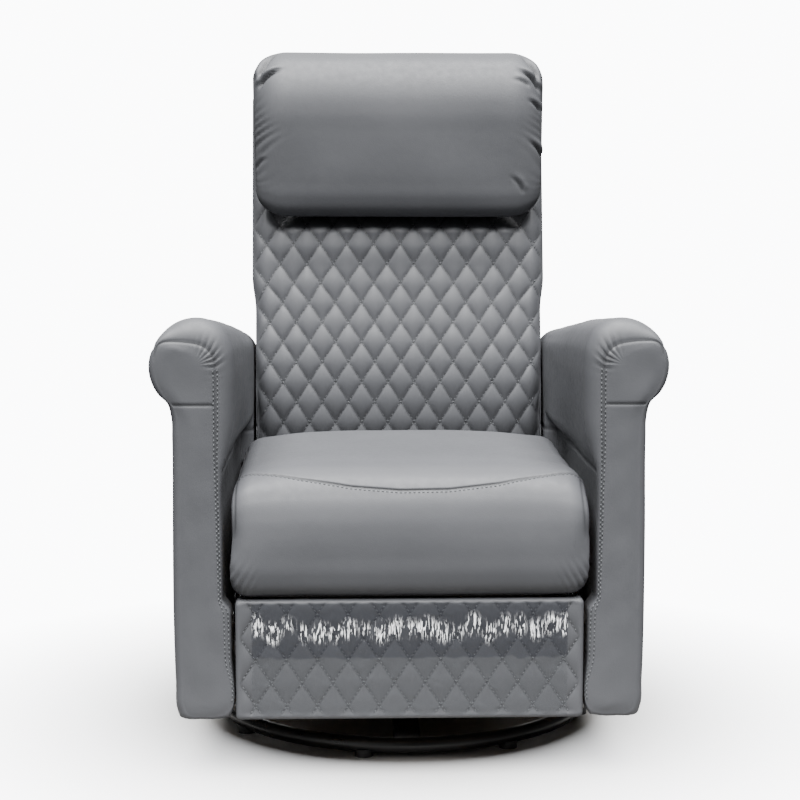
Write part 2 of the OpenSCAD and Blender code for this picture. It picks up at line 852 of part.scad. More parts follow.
module seat_cushion() {
  core = [mix(seat_front_y, drop_y, 0.5), mix(deck_h, seat_h, 0.4)];
  rings = [for (k = [0 : len(seat_across_shares) - 1])
    let (s = seat_across_shares[k], outline = seat_outline(seat_crown * pow(abs(s), 3)))
    [for (p = outline)
      let (
        drawn = seat_drawn_shares[k],
        q = mix(p, core, drawn),
        on_deck = p[1] < deck_h + over && p[0] > drop_y)
      [s * seat_w / 2, p[0] >= drop_y ? mix(p[0], core[0], drawn * 0.2) : q[0], on_deck ? p[1] : q[1]]]];
  color(leather) loft(rings, [-seat_w / 2, core[0], core[1]], [seat_w / 2, core[0], core[1]]);
}

// Rivets that stay with the seat plates: legrest pivots, and the pivots of the back
module seat_pivots() {
  color(zinc) both_sides() {
    seat_rivet(drive_pivot, drive_x);
    seat_rivet(follower_pivot, follower_x);
    rod_x(plate_in, plate_out, rivet_r, [pivot_y, pivot_z]);
    rod_x(plate_out, plate_out + head_t, head_r, [pivot_y, pivot_z]);
    rod_x(back_w / 2 + bracket_t + head_gap, plate_in, head_r, [pivot_y, pivot_z]);
    rod_x(back_w / 2 + soft_gap, back_w / 2 + bracket_t + head_gap + over, rivet_r, [pivot_y, pivot_z]);
  }
}

module seat_rivet(at, x) {
  rod_x(x - head_gap, plate_out, rivet_r, at);
  rod_x(plate_out, plate_out + head_t, head_r, at);
  rod_x(x + plate_t + head_gap, plate_in, head_r, at);
  rod_x(x - head_gap - head_t, x - head_gap, head_r - 2 * run_gap, at);
}

// Legrest links, one pair of each, each pair in its own layer

module link(x, p, q, holes) {
  plate_x(x, plate_t) difference() {
    bar_2d(p, q, link_w);
    for (h = holes) {
      translate(h) circle(r = rivet_r + run_gap);
    }
  }
}

module drive_links() {
  color(black_steel) both_sides() link(drive_x, drive_pivot, knee, [drive_pivot, knee]);
}

module torque_tube() {
  color(black_steel) difference() {
    rod_x(-drive_x, drive_x, tube_r, drive_pivot);
    rod_x(-drive_x - over, drive_x + over, tube_r - tube_wall, drive_pivot);
  }
}

module drive_rivets() {
  color(zinc) both_sides() {
    rod_x(drive_x - head_t, drive_x, head_r, knee);
    rod_x(drive_x - over, drive_x + plate_t, rivet_r + run_gap, knee);
    rod_x(drive_x + plate_t - over, carrier_x + plate_t + head_gap, rivet_r, knee);
    rod_x(carrier_x + plate_t + head_gap, carrier_x + link_step + head_t / 2, head_r, knee);
  }
}

module carrier_links() {
  color(black_steel) both_sides() link(carrier_x, knee, board_pivot, [knee, meet, board_pivot]);
}

module follower_links() {
  color(black_steel) both_sides() link(follower_x, follower_pivot, meet, [follower_pivot, stay_root, meet]);
}

module follower_rivets() {
  color(zinc) both_sides() {
    rod_x(follower_x, follower_x + plate_t, rivet_r + run_gap, stay_root);
    rod_x(follower_x + plate_t - over, stay_x + plate_t, rivet_r, stay_root);
  }
}

module stay_links() {
  color(black_steel) both_sides() link(stay_x, stay_root, stay_pivot, [stay_root, stay_pivot]);
}

// Legrest board with its brackets, pad and film

module footrest_board() {
  half = follower_x;
  color(timber) difference() {
    block([-half, board_y - board_t, board_z], [half, board_y, board_z + board_h]);
    screw_places() translate([0, board_y - board_t - over, 0]) rotate([-90, 0, 0])
      cylinder(r = screw_r, h = board_t + 2 * over);
  }
}

// Four screws, two in each bracket's flange
module screw_places() {
  both_sides() for (z = [board_pivot[1] + bracket_low, stay_pivot[1] - bracket_low]) {
    translate([follower_x - flange_w / 2, 0, z]) children();
  }
}

module footrest_brackets() {
  z0 = board_pivot[1] - bracket_low;
  color(black_steel) both_sides() difference() {
    union() {
      plate_x(follower_x, plate_t) {
        translate([board_pivot[0] - board_back, z0]) square([board_back + link_w / 2, bracket_h]);
      }
      block([follower_x - flange_w, board_y, z0], [follower_x, board_y + flange_t, z0 + bracket_h]);
    }
    rod_x(follower_x - over, follower_x + plate_t + over, rivet_r, board_pivot);
    rod_x(follower_x - over, follower_x + plate_t + over, rivet_r, stay_pivot);
    for (z = [board_pivot[1] + bracket_low, stay_pivot[1] - bracket_low]) {
      translate([follower_x - flange_w / 2, board_y - over, z]) rotate([-90, 0, 0])
        cylinder(r = screw_r, h = flange_t + 2 * over);
    }
  }
}

module footrest_rivets() {
  color(zinc) both_sides() {
    rod_x(carrier_x - head_gap, follower_x + plate_t, rivet_r, board_pivot);
    rod_x(carrier_x - head_gap - head_t, carrier_x - head_gap, head_r, board_pivot);
  }
}

module footrest_screws() {
  color(zinc) screw_places() translate([0, board_y + flange_t, 0]) {
    rotate([90, 0, 0]) cylinder(r = screw_r, h = board_t + flange_t);
    rotate([-90, 0, 0]) cylinder(r = 2 * screw_r, h = head_t);
  }
}

// Quilted pad: rings stacked upward, the front of each ring tufted where the stitches cross
function quilt(i, j, deep) = (i + j) % 2 == 0 ? 0 : deep;
tuft = 5;
pad_border = 18;
pad_cols = 2 * round((pad_w - 2 * pad_border) / diamond_w);
pad_rows = 2 * round((pad_h - 2 * pad_border) / diamond_h);
edge_round = 9;

module footrest_pad() {
  half = pad_w / 2;
  inner_w = pad_w - 2 * pad_border;
  inner_h = pad_h - 2 * pad_border;
  front = pad_y - pad_t;
  zs = concat([[pad_z, edge_round, 0]], [[pad_z + pad_border / 3, edge_round / 3, 0]],
    [for (j = [0 : pad_rows]) [pad_z + pad_border + inner_h * j / pad_rows, 0, 1]],
    [[pad_z + pad_h - pad_border / 3, edge_round / 3, 0], [pad_z + pad_h, edge_round, 0]]);
  rings = [for (j = [0 : len(zs) - 1])
    let (z = zs[j][0], back = zs[j][1], on = zs[j][2])
    concat(
      [[half - back / 2, pad_y - soft_gap, z], [half - back, mix(pad_y, front, 0.5), z],
        [half - edge_round - back / 3, front + edge_round / 3 + back, z]],
      [for (i = [pad_cols : -1 : 0])
        [-inner_w / 2 + inner_w * i / pad_cols, front + back + (on > 0 ? quilt(i, j, tuft) : 0), z]],
      [[-half + edge_round + back / 3, front + edge_round / 3 + back, z],
        [-half + back, mix(pad_y, front, 0.5), z], [-half + back / 2, pad_y - soft_gap, z]])];
  mid = mix(pad_y, front, 0.4);
  color(leather) loft(rings, [0, mid, pad_z], [0, mid, pad_z + pad_h]);
}

module footrest_film() {
  front = pad_y - pad_t;
  z0 = pad_z + (pad_h - film_h) / 2;
  color([0.9, 0.92, 0.95, 0.3]) block([-film_w / 2, front - film_t, z0], [film_w / 2, front, z0 + film_h]);
}

// Backrest, in its own frame: X across, Y from front to rear, Z up along the back

module on_back() {
  translate([0, pivot_y, pivot_z]) rotate([-rake, 0, 0]) children();
}

module back_frame() {
  half = back_w / 2 - panel_t;
  s0 = frame_s0 + panel_t;
  s1 = back_s1 - panel_t;
  color(timber) on_back() {
    both_sides() block([half - post_w, post_front, s0], [half, post_rear, s1]);
    for (s = [s0, mix(s0, s1, 0.5), s1 - post_w]) {
      block([post_w - half, post_front, s], [half - post_w, post_rear, s + post_w]);
    }
  }
}

module back_brackets() {
  half = back_w / 2;
  color(black_steel) both_sides() plate_x(half, bracket_t) difference() {
    union() {
      translate([pivot_y, pivot_z]) rotate(-rake) translate([post_front, frame_s0])
        square([post_d, bracket_arm - frame_s0]);
      bar_2d([pivot_y, pivot_z], bracket_seat, 2 * ear_r);
    }
    translate([pivot_y, pivot_z]) circle(r = rivet_r + run_gap);
  }
}

post_mid = (post_front + post_rear) / 2;
bracket_seat = [pivot_y + post_mid * cos(rake) + bracket_arm / 3 * sin(rake),
  pivot_z - post_mid * sin(rake) + bracket_arm / 3 * cos(rake)];

module back_webbing() {
  half = back_w / 2;
  pitch = (back_s1 - post_w - strap_w - post_w) / (strap_count - 1);
  color([0.12, 0.12, 0.12]) on_back() for (k = [0 : strap_count - 1]) {
    block([-half + post_w / 4, post_front - strap_t, post_w / 2 + k * pitch],
      [half - post_w / 4, post_front, post_w / 2 + k * pitch + strap_w]);
  }
}

back_rows = 2 * round((pillow_s0 - 2 * diamond_w) / diamond_h);
back_cols = 2 * round((back_w - 2 * pad_border) / diamond_w);
back_round = 24;
cushion_rear = post_front - strap_t - soft_gap;

module back_cushion() {
  half = back_w / 2;
  inner_w = back_w - 2 * pad_border;
  quilt_s0 = back_s0 + diamond_w;
  quilt_s1 = pillow_s0 + diamond_w;
  zs = concat([[back_s0, back_round, 0], [back_s0 + back_round / 2, back_round / 3, 0]],
    [for (j = [0 : back_rows]) [mix(quilt_s0, quilt_s1, j / back_rows), 0, 1]],
    [[mix(quilt_s1, back_s1, 0.5), back_round / 3, 0], [back_s1, back_round, 0]]);
  rings = [for (j = [0 : len(zs) - 1])
    let (z = zs[j][0], back = zs[j][1], on = zs[j][2])
    concat(
      [[half - back / 2, cushion_rear, z], [half, mix(cushion_rear, -back_front, 0.5), z],
        [half - back_round / 5, back_round - back_front, z]],
      [for (i = [back_cols : -1 : 0])
        let (u = 2 * i / back_cols - 1, bow = back_round / 2 * pow(u, 4))
        [u * inner_w / 2, back - back_front + bow + (on > 0 ? quilt(i, j, tuft) : 0), z]],
      [[back_round / 5 - half, back_round - back_front, z],
        [-half, mix(cushion_rear, -back_front, 0.5), z], [back / 2 - half, cushion_rear, z]])];
  color(leather) on_back() loft(rings, [0, 0, back_s0], [0, 0, back_s1]);
}

// Outside back: a shallow tray that wraps the frame's rear, sides and ends
module back_panel() {
  half = back_w / 2;
  color(leather) on_back() difference() {
    block([-half, post_front - strap_t, frame_s0], [half, back_rear, back_s1]);
    block([panel_t - half, post_front - strap_t - over, frame_s0 + panel_t],
      [half - panel_t, post_rear, back_s1 - panel_t]);
  }
}

// Head pillow: a hood profile over the top of the back, drawn in towards its sides
function pillow_outline() =
  let (
    rear = -back_front - soft_gap,
    front = rear - pillow_t,
    top = back_s1 + soft_gap,
    high = pillow_top,
    tall = high - pillow_s0)
  [
    [rear, pillow_s0 + tall * 0.05], [rear, mix(pillow_s0, top, 0.5)], [rear, top],
    [mix(rear, post_rear, 0.5), top], [mix(rear, post_rear, 0.95), top],
    [mix(rear, post_rear, 0.96), mix(top, high, 0.35)],
    [mix(rear, post_rear, 0.86), mix(top, high, 0.8)], [mix(rear, post_rear, 0.6), high - tall * 0.012],
    [mix(rear, post_rear, 0.2), high], [mix(rear, front, 0.2), high - tall * 0.015],
    [mix(rear, front, 0.55), high - tall * 0.06], [mix(rear, front, 0.82), high - tall * 0.17],
    [mix(rear, front, 0.95), high - tall * 0.33], [front, mix(high, pillow_s0, 0.52)],
    [mix(rear, front, 0.99), mix(high, pillow_s0, 0.75)],
    [mix(rear, front, 0.88), mix(high, pillow_s0, 0.91)],
    [mix(rear, front, 0.6), mix(high, pillow_s0, 0.985)], [mix(rear, front, 0.3), pillow_s0],
    [mix(rear, front, 0.08), pillow_s0 + tall * 0.015]];
pillow_across_shares = [-1, -0.975, -0.9, -0.78, -0.5, 0, 0.5, 0.78, 0.9, 0.975, 1];
pillow_drawn_shares = [0.34, 0.16, 0.05, 0.015, 0, 0, 0, 0.015, 0.05, 0.16, 0.34];

module head_pillow() {
  core = [mix(-back_front, -back_front - pillow_t, 0.45), mix(back_s1, pillow_top, 0.35)];
  rear = -back_front - soft_gap;
  top = back_s1 + soft_gap;
  rings = [for (k = [len(pillow_across_shares) - 1 : -1 : 0])
    let (drawn = pillow_drawn_shares[k])
    [for (p = pillow_outline())
      let (q = mix(p, core, drawn), over_back = p[0] > rear)
      [pillow_across_shares[k] * pillow_w / 2, p[0] == rear ? rear : q[0],
        p[1] == top ? top : over_back ? mix(p[1], top, drawn) : q[1]]]];
  color(leather) on_back() loft(rings, [pillow_w / 2, core[0], core[1]], [-pillow_w / 2, core[0], core[1]]);
}

base_ring();
base_spider();
ring_glides();
bearing_lower();
bearing_balls();
bearing_cage();
bearing_upper();
centre_bolt();
centre_nut();
swivel_frame();
rocker_track_left();
rocker_track_right();
rocker_springs();
rocker_cam_left();
rocker_cam_right();
spring_plates();
cross_tube_front();
cross_tube_rear();
base_rail_left();
base_rail_right();
arm_frame_left();
arm_frame_right();
arm_cover_left();
arm_cover_right();
arm_bolts();
rear_apron();
release_bezel();
release_paddle();
release_cable();
seat_plate_left();
seat_plate_right();
guide_pins();
seat_rail_front();
seat_rail_rear();
seat_rails_side();
seat_springs();
seat_cushion();
seat_pivots();
torque_tube();
drive_links();
drive_rivets();
carrier_links();
follower_links();
follower_rivets();
stay_links();
footrest_board();
footrest_pad();
footrest_film();
footrest_brackets();
footrest_rivets();
footrest_screws();
back_frame();
back_webbing();
back_cushion();
back_panel();
head_pillow();
back_brackets();
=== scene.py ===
"""Dresses a swivel rocker recliner over its frame: padded leather, stitching, film, steel and timber."""

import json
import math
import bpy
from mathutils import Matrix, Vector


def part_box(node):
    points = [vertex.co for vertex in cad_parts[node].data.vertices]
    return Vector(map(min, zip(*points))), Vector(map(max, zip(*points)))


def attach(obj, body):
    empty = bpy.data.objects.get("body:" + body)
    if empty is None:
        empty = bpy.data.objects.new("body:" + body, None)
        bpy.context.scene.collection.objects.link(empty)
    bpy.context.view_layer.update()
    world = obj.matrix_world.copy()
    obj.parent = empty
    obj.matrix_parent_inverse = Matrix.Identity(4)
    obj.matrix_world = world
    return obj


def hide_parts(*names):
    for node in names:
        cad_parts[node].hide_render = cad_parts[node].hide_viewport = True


bl_info = {
    "name": "Swivel rocker recliner",
    "version": (1, 0, 0),
    "blender": (4, 5, 0),
    "location": "View3D > Sidebar > Recliner",
    "description": "Makes the upholstery, stitching, film and finishes of a swivel rocker recliner",
    "category": "Object",
}

import bmesh
import bpy
import numpy as np

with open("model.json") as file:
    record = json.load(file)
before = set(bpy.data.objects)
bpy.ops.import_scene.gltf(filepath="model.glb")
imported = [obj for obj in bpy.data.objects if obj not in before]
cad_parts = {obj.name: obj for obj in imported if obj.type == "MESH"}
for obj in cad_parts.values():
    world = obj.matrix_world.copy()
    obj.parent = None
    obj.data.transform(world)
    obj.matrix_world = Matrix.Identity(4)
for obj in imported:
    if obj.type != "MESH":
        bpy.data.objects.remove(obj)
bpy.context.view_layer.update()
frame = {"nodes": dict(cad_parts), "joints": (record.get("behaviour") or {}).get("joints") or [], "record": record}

MM = 0.001


def corners(node):
    """The lowest and highest corner of a node of the frame, as arrays in metres."""
    low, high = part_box(node)
    return np.array(low), np.array(high)


# Places that the frame gives, and how far the back leans at rest
ARM_LOW, ARM_HIGH = corners("arm_cover_right")
SEAT_HALF = corners("seat_cushion")[1][0]
PAD_LOW, PAD_HIGH = corners("footrest_pad")
PILLOW_HALF = corners("head_pillow")[1][0]
APRON_LOW, APRON_HIGH = corners("rear_apron")
BEZEL_LOW, BEZEL_HIGH = corners("release_bezel")
RECLINE = next(j for j in frame["joints"] if j["name"] == "back_recline")
BACK_PIVOT = np.array(RECLINE["pos_m"])
RAKE = math.radians(11.5)


class ReclinerSizes(bpy.types.PropertyGroup):
    """Sizes of the upholstery that a user may change."""

    diamond_width: bpy.props.FloatProperty(
        name="Diamond width", description="Width of one quilted diamond", default=45 * MM, unit="LENGTH"
    )
    diamond_height: bpy.props.FloatProperty(
        name="Diamond height", description="Height of one quilted diamond", default=68 * MM, unit="LENGTH"
    )
    quilt_depth: bpy.props.FloatProperty(
        name="Quilt depth", description="How far each diamond swells", default=4.2 * MM, unit="LENGTH"
    )
    stitch_pitch: bpy.props.FloatProperty(
        name="Stitch pitch", description="From one topstitch to the next", default=6.5 * MM, unit="LENGTH"
    )
    thread_radius: bpy.props.FloatProperty(
        name="Thread radius", description="Radius of the sewing thread", default=0.8 * MM, unit="LENGTH"
    )
    seam_depth: bpy.props.FloatProperty(
        name="Seam depth", description="Depth of a sewn seam in the leather", default=3 * MM, unit="LENGTH"
    )


class ReclinerColours(bpy.types.PropertyGroup):
    """Colours of the finishes, as sRGB hex text."""

    leather: bpy.props.StringProperty(name="Leather", description="Slate grey leather", default="4a4b4e")
    thread: bpy.props.StringProperty(name="Thread", description="Matching thread", default="55575a")
    enamel: bpy.props.StringProperty(name="Powder coat", description="Black powder coat", default="141415")
    timber: bpy.props.StringProperty(name="Timber", description="Pale softwood frame", default="c8a270")
    floor: bpy.props.StringProperty(name="Floor", description="Plain pale floor", default="908f8d")


def sizes():
    """The sizes that the user has set."""
    return bpy.context.scene.recliner_sizes


def colours():
    """The colours that the user has set."""
    return bpy.context.scene.recliner_colours


# Curves and grids


def closed_curve(points, count, lead=None):
    """A smooth closed curve through points: a cubic between each two, whose slope at a point is the mean
    of the slopes on both sides, the nearer side counting more. It is read at count places that are
    evenly spaced along the length of its first lead columns."""
    p = np.vstack([points[-1:], points, points[:2]])
    h = np.linalg.norm(np.diff(p[:, :lead], axis=0), axis=1)[:, None]
    slope = np.diff(p, axis=0) / h
    m = (slope[:-1] * h[1:] + slope[1:] * h[:-1]) / (h[1:] + h[:-1])
    a, b, ma, mb, h = (v[:, None, :] for v in (p[1:-2], p[2:-1], m[:-1], m[1:], h[1:-1]))
    t = (np.arange(24) / 24)[None, :, None]
    fine = (
        a * (2 * t**3 - 3 * t**2 + 1)
        + ma * h * (t**3 - 2 * t**2 + t)
        + b * (3 * t**2 - 2 * t**3)
        + mb * h * (t**3 - t**2)
    ).reshape(-1, p.shape[1])
    return resample(np.vstack([fine, fine[:1]]), count, True, lead)


def resample(line, count, closed=False, lead=None):
    """The same line read at count places spaced evenly along the length of its first lead columns."""
    walked = walked_along(line[:, :lead])
    places = np.linspace(0, walked[-1], count, endpoint=not closed)
    return np.column_stack([np.interp(places, walked, line[:, k]) for k in range(line.shape[1])])


def smooth(x, low, high):
    """0 below low, 1 above high, and the cubic 3t^2 - 2t^3 between."""
    t = np.clip((x - low) / (high - low), 0, 1)
    return t * t * (3 - 2 * t)


def bell(x, width):
    """A bell of height 1 about x = 0, down to a third at width."""
    return np.exp(-((x / width) ** 2))


def ripple(x, waves, seed):
    """A wandering wave between about -1 and 1: sines of the given counts of waves with seeded phases."""
    phases = np.random.default_rng(seed).uniform(0, 2 * np.pi, len(waves))
    return sum(np.sin(2 * np.pi * w * x + f) for w, f in zip(waves, phases)) / math.sqrt(len(waves))


def rumple(x, y, length, seed, count=9):
    """Soft uneven creasing over a surface: sines in seeded directions with wave lengths about length."""
    r = np.random.default_rng(seed)
    angle, phase = r.uniform(0, np.pi, count), r.uniform(0, 2 * np.pi, count)
    wave = 2 * np.pi / (length * r.uniform(0.6, 1.6, count))
    total = sum(np.sin(w * (x * np.cos(a) + y * np.sin(a)) + f) for w, a, f in zip(wave, angle, phase))
    return total / math.sqrt(count)


def outward_normals(p):
    """The unit normals of a grid of rings: the cross product of its slopes along rows and columns, turned
    to point away from the form's middle."""
    around = np.concatenate([p[:, -1:], p, p[:, :1]], axis=1)
    n = np.cross(np.gradient(p, axis=0), np.gradient(around, axis=1)[:, 1:-1])
    n = n / np.maximum(np.linalg.norm(n, axis=2, keepdims=True), 1e-12)
    away = p - p.mean((0, 1))
    return n if np.einsum("ijk,ijk->ij", n, away).mean() > 0 else -n


def walked_along(p):
    """How far each point of a line, or of each column of a grid, lies along it from its first point."""
    steps = np.linalg.norm(np.diff(p, axis=0), axis=-1)
    return np.concatenate([np.zeros_like(steps[:1]), np.cumsum(steps, axis=0)])


def crossing(p, normals, value, level, allowed):
    """In each row of a grid, the first place where value passes level within allowed, on a straight line
    between the two points beside it; gives the points and their normals."""
    s = value - level
    change = (s[:, :-1] * s[:, 1:] <= 0) & allowed[:, :-1] & allowed[:, 1:]
    rows = np.flatnonzero(change.any(axis=1))
    j = change[rows].argmax(axis=1)
    f = (s[rows, j] / (s[rows, j] - s[rows, j + 1] + 1e-15))[:, None]
    return [g[rows, j] * (1 - f) + g[rows, j + 1] * f for g in (p, normals)]


def grid_faces(rows, columns, wrap):
    """Four corners of each cell of a grid of points, counted row by row."""
    i = np.arange(rows - 1)[:, None] * columns
    j = np.arange(columns if wrap else columns - 1)[None, :]
    k = (j + 1) % columns
    quads = np.stack(np.broadcast_arrays(i + j, i + k, i + columns + k, i + columns + j), axis=-1)
    return quads.reshape(-1, 4)


def add_mesh(name, verts, faces, **attributes):
    """A new smooth-shaded object at the origin with these points, faces and values at its points."""
    mesh = bpy.data.meshes.new(name)
    mesh.from_pydata(verts.tolist(), [], [list(map(int, f)) for f in faces])
    mesh.polygons.foreach_set("use_smooth", np.ones(len(mesh.polygons), bool))
    for key, values in attributes.items():
        layer = mesh.attributes.new(key, "FLOAT", "POINT")
        layer.data.foreach_set("value", np.asarray(values, np.float32).ravel())
    mesh.update()
    piece = bpy.data.objects.new(name, mesh)
    bpy.context.scene.collection.objects.link(piece)
    return piece


def signed_volume(verts, quads):
    """Six times the volume inside quads by the divergence rule, negative when they point inwards."""
    a, b, c, d = (verts[quads[:, k]] for k in range(4))
    return np.einsum("ij,ij->i", a, np.cross(b, c) + np.cross(c, d)).sum()


def closed_form(name, p, crease=None, keep=None, ends="fan"):
    """A piece from a grid whose rows are rings. Each end is closed by a fan to its middle, by one flat
    face, or is sealed already, where the two halves of its ring lie on each other. keep says which cells
    stay, by their middles, and the painted crease shade how deep in a seam or crease each point lies,
    from 0 to 1, kept on the mesh for the leather to darken by as painted shade."""
    rows, columns = p.shape[:2]
    verts = np.vstack([p.reshape(-1, 3), p[0].mean(0), p[-1].mean(0)])
    quads = grid_faces(rows, columns, True)
    turned = signed_volume(verts - verts.mean(0), quads) < 0
    if keep is not None:
        quads = quads[keep(verts[quads].mean(axis=1))]
    ring = np.arange(columns)
    after = (ring + 1) % columns
    last = (rows - 1) * columns
    fans = [
        np.column_stack([np.full(columns, rows * columns), after, ring]),
        np.column_stack([np.full(columns, rows * columns + 1), last + ring, last + after]),
    ]
    caps = {"fan": [*fans[0], *fans[1]], "flat": [ring[::-1], last + ring], "sealed": []}[ends]
    faces = [*quads, *caps]
    if turned:
        faces = [f[::-1] for f in faces]
    crease = np.zeros((rows, columns)) if crease is None else crease
    piece = add_mesh(name, verts, faces, crease=np.append(np.clip(crease, 0, 1).ravel(), [0, 0]))
    tidy = bmesh.new()
    tidy.from_mesh(piece.data)
    bmesh.ops.remove_doubles(tidy, verts=tidy.verts, dist=0.01 * MM)
    bmesh.ops.delete(tidy, geom=[v for v in tidy.verts if not v.link_faces], context="VERTS")
    tidy.to_mesh(piece.data)
    tidy.free()
    return piece


def mirrored(p):
    """The same points on the chair's other side."""
    return p * np.array([-1, 1, 1])


def on_back(p):
    """Points in the backrest's own frame (across, depth, height along the back) raked into place."""
    c, s = math.cos(RAKE), math.sin(RAKE)
    x, d, h = p[..., 0], p[..., 1], p[..., 2]
    return BACK_PIVOT + np.stack([x, c * d + s * h, c * h - s * d], axis=-1)


def back_way(v):
    """A direction in the backrest's own frame turned with its rake."""
    return on_back(v) - BACK_PIVOT


def stitches(name, lines):
    """Topstitching: along each line a row of short threads. A thread is a six-sided prism whose rings
    stand at 0, 0.2, 0.8 and 1 of its length and whose two ends dive into the leather."""
    s = sizes()
    pitch, radius = s.stitch_pitch, s.thread_radius
    verts, faces, first = [], [], 0
    turn = np.linspace(0, 2 * np.pi, 6, endpoint=False)
    for line, normal in lines:
        walked = np.linalg.norm(np.diff(line, axis=0), axis=1).sum()
        count = max(2, int(walked / pitch))
        path = resample(np.hstack([line, normal]), 2 * count, lead=3)
        a, b, up = path[0::2, :3], path[1::2, :3], path[0::2, 3:]
        b = a + (b - a) * 1.35
        way = (b - a) / np.linalg.norm(b - a, axis=1, keepdims=True)
        side = np.cross(way, up)
        side /= np.linalg.norm(side, axis=1, keepdims=True)
        up = np.cross(side, way)
        around = side[:, None] * np.cos(turn)[None, :, None] + up[:, None] * np.sin(turn)[None, :, None]
        rings = [
            (a + (b - a) * t + up * radius * rise)[:, None] + around * radius * r
            for t, r, rise in ((0, 0.35, -0.9), (0.2, 1, 0.3), (0.8, 1, 0.3), (1, 0.35, -0.9))
        ]
        verts.append(np.stack(rings, axis=1).reshape(-1, 3))
        cells = grid_faces(4, 6, True)[:, ::-1]
        offsets = first + 24 * np.arange(count)
        faces += (cells[None] + offsets[:, None, None]).reshape(-1, 4).tolist()
        first += 24 * count
    return add_mesh(name, np.vstack(verts), faces)


def cubic_weights(fine, coarse, step, wrap):
    """A matrix that reads coarse values at every 1/step of the way between them, by the cubic whose slope
    at a value is half the way between its neighbours."""
    place = np.arange(fine) / step
    i = np.minimum(place.astype(int), coarse - (1 if wrap else 2))
    t = place - i
    parts = (
        -0.5 * t + t**2 - 0.5 * t**3,
        1 - 2.5 * t**2 + 1.5 * t**3,
        0.5 * t + 2 * t**2 - 1.5 * t**3,
        -0.5 * t**2 + 0.5 * t**3,
    )
    weights = np.zeros((fine, coarse))
    for k, part in enumerate(parts):
        at = (i + k - 1) % coarse if wrap else np.clip(i + k - 1, 0, coarse - 1)
        np.add.at(weights, (np.arange(fine), at), part)
    return weights


# The cloth stands in for the padded forms with every fourth ring and point, under an air pressure of 4
# for 20 frames, and its points are told apart by their places to 0.05 mm
CLOTH_STEP = 4
CLOTH_PRESSURE = 4.0
CLOTH_FRAMES = 20
CLOTH_CELL = 0.05 * MM


def plumped(p, held, cap, calm, ends="fan"):
    """A padded form blown up as cloth is by the filling inside it: a coarse copy is given to Blender's
    cloth with air pressure and no gravity, held where held is true, and the way that it moved, at most
    cap, is evened out calm times and read back over the whole grid."""
    step = CLOTH_STEP
    small = p[::step, ::step]
    piece = closed_form("cloth_source", small, ends=ends)
    count = len(piece.data.vertices)
    start = np.zeros(count * 3)
    piece.data.vertices.foreach_get("co", start)
    start = start.reshape(-1, 3)
    keys = {tuple(cell): k for k, cell in enumerate(np.round(start / CLOTH_CELL).astype(int))}
    cells = np.round(small.reshape(-1, 3) / CLOTH_CELL).astype(int)
    index = np.array([keys.get(tuple(cell), -1) for cell in cells])
    group = piece.vertex_groups.new(name="held")
    group.add(sorted({int(i) for i in index[held[::step, ::step].ravel()] if i >= 0}), 1.0, "REPLACE")
    cloth = piece.modifiers.new("Cloth", "CLOTH")
    skin = cloth.settings
    skin.quality = 6
    skin.mass = 0.3
    skin.tension_stiffness = skin.compression_stiffness = 40
    skin.shear_stiffness = 20
    skin.bending_stiffness = 4
    skin.use_pressure = True
    skin.uniform_pressure_force = CLOTH_PRESSURE
    skin.effector_weights.gravity = 0
    skin.vertex_group_mass = "held"
    cloth.point_cache.frame_start, cloth.point_cache.frame_end = 1, CLOTH_FRAMES
    scene = bpy.context.scene
    for f in range(1, CLOTH_FRAMES + 1):
        scene.frame_set(f)
    blown = piece.evaluated_get(bpy.context.evaluated_depsgraph_get())
    end = np.zeros(count * 3)
    blown.data.vertices.foreach_get("co", end)
    way = (end.reshape(-1, 3) - start)[np.maximum(index, 0)] * (index >= 0)[:, None]
    bpy.data.objects.remove(piece)
    scene.frame_set(1)
    length = np.linalg.norm(way, axis=1, keepdims=True)
    way *= np.minimum(1, cap / np.maximum(length, 1e-9))
    way = way.reshape(small.shape)
    for _ in range(calm):
        inner = way[1:-1] + 0.25 * (way[2:] - 2 * way[1:-1] + way[:-2])
        way = np.concatenate([way[:1], inner, way[-1:]])
        way = way + 0.25 * (np.roll(way, 1, axis=1) - 2 * way + np.roll(way, -1, axis=1))
    across = cubic_weights(p.shape[0], small.shape[0], step, False)
    around = cubic_weights(p.shape[1], small.shape[1], step, True)
    return p + np.einsum("ai,ijk,bj->abk", across, way, around)


def dress(piece, body, finish, replaces=()):
    """Gives a piece its body and its material, and hides the nodes that it stands for."""
    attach(piece, body)
    piece.data.materials.clear()
    piece.data.materials.append(finish)
    if replaces:
        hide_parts(*replaces)


# Finishes


def linear(text):
    """An sRGB hex colour as the linear colour that a shader takes."""
    c = np.array([int(text[k : k + 2], 16) for k in (0, 2, 4)]) / 255
    c = np.where(c <= 0.04045, c / 12.92, ((c + 0.055) / 1.055) ** 2.4)
    return (*c.tolist(), 1.0)


def feed(tree, node, **inputs):
    """Gives each input of a node, by its name or as i and its number, a value, or a link from an output or
    from the first output in use of another node."""
    for key, value in inputs.items():
        numbered = key[0] == "i" and key[1:].isdigit()
        socket = node.inputs[int(key[1:]) if numbered else key.replace("_", " ")]
        if isinstance(value, bpy.types.Node):
            value = next(output for output in value.outputs if output.enabled)
        if isinstance(value, bpy.types.NodeSocket):
            tree.links.new(value, socket)
        else:
            socket.default_value = value


def add(tree, kind, settings=(), **inputs):
    """Adds a node of this kind, with its own settings and its inputs. The stops of a colour ramp are rows
    of place and sRGB hex colour."""
    node = tree.nodes.new("ShaderNode" + kind)
    for key, value in dict(settings).items():
        if key == "stops":
            for mark, (at, colour) in zip(node.color_ramp.elements, value):
                mark.position, mark.color = at, linear(colour)
        else:
            setattr(node, key, value)
    feed(tree, node, **inputs)
    return node


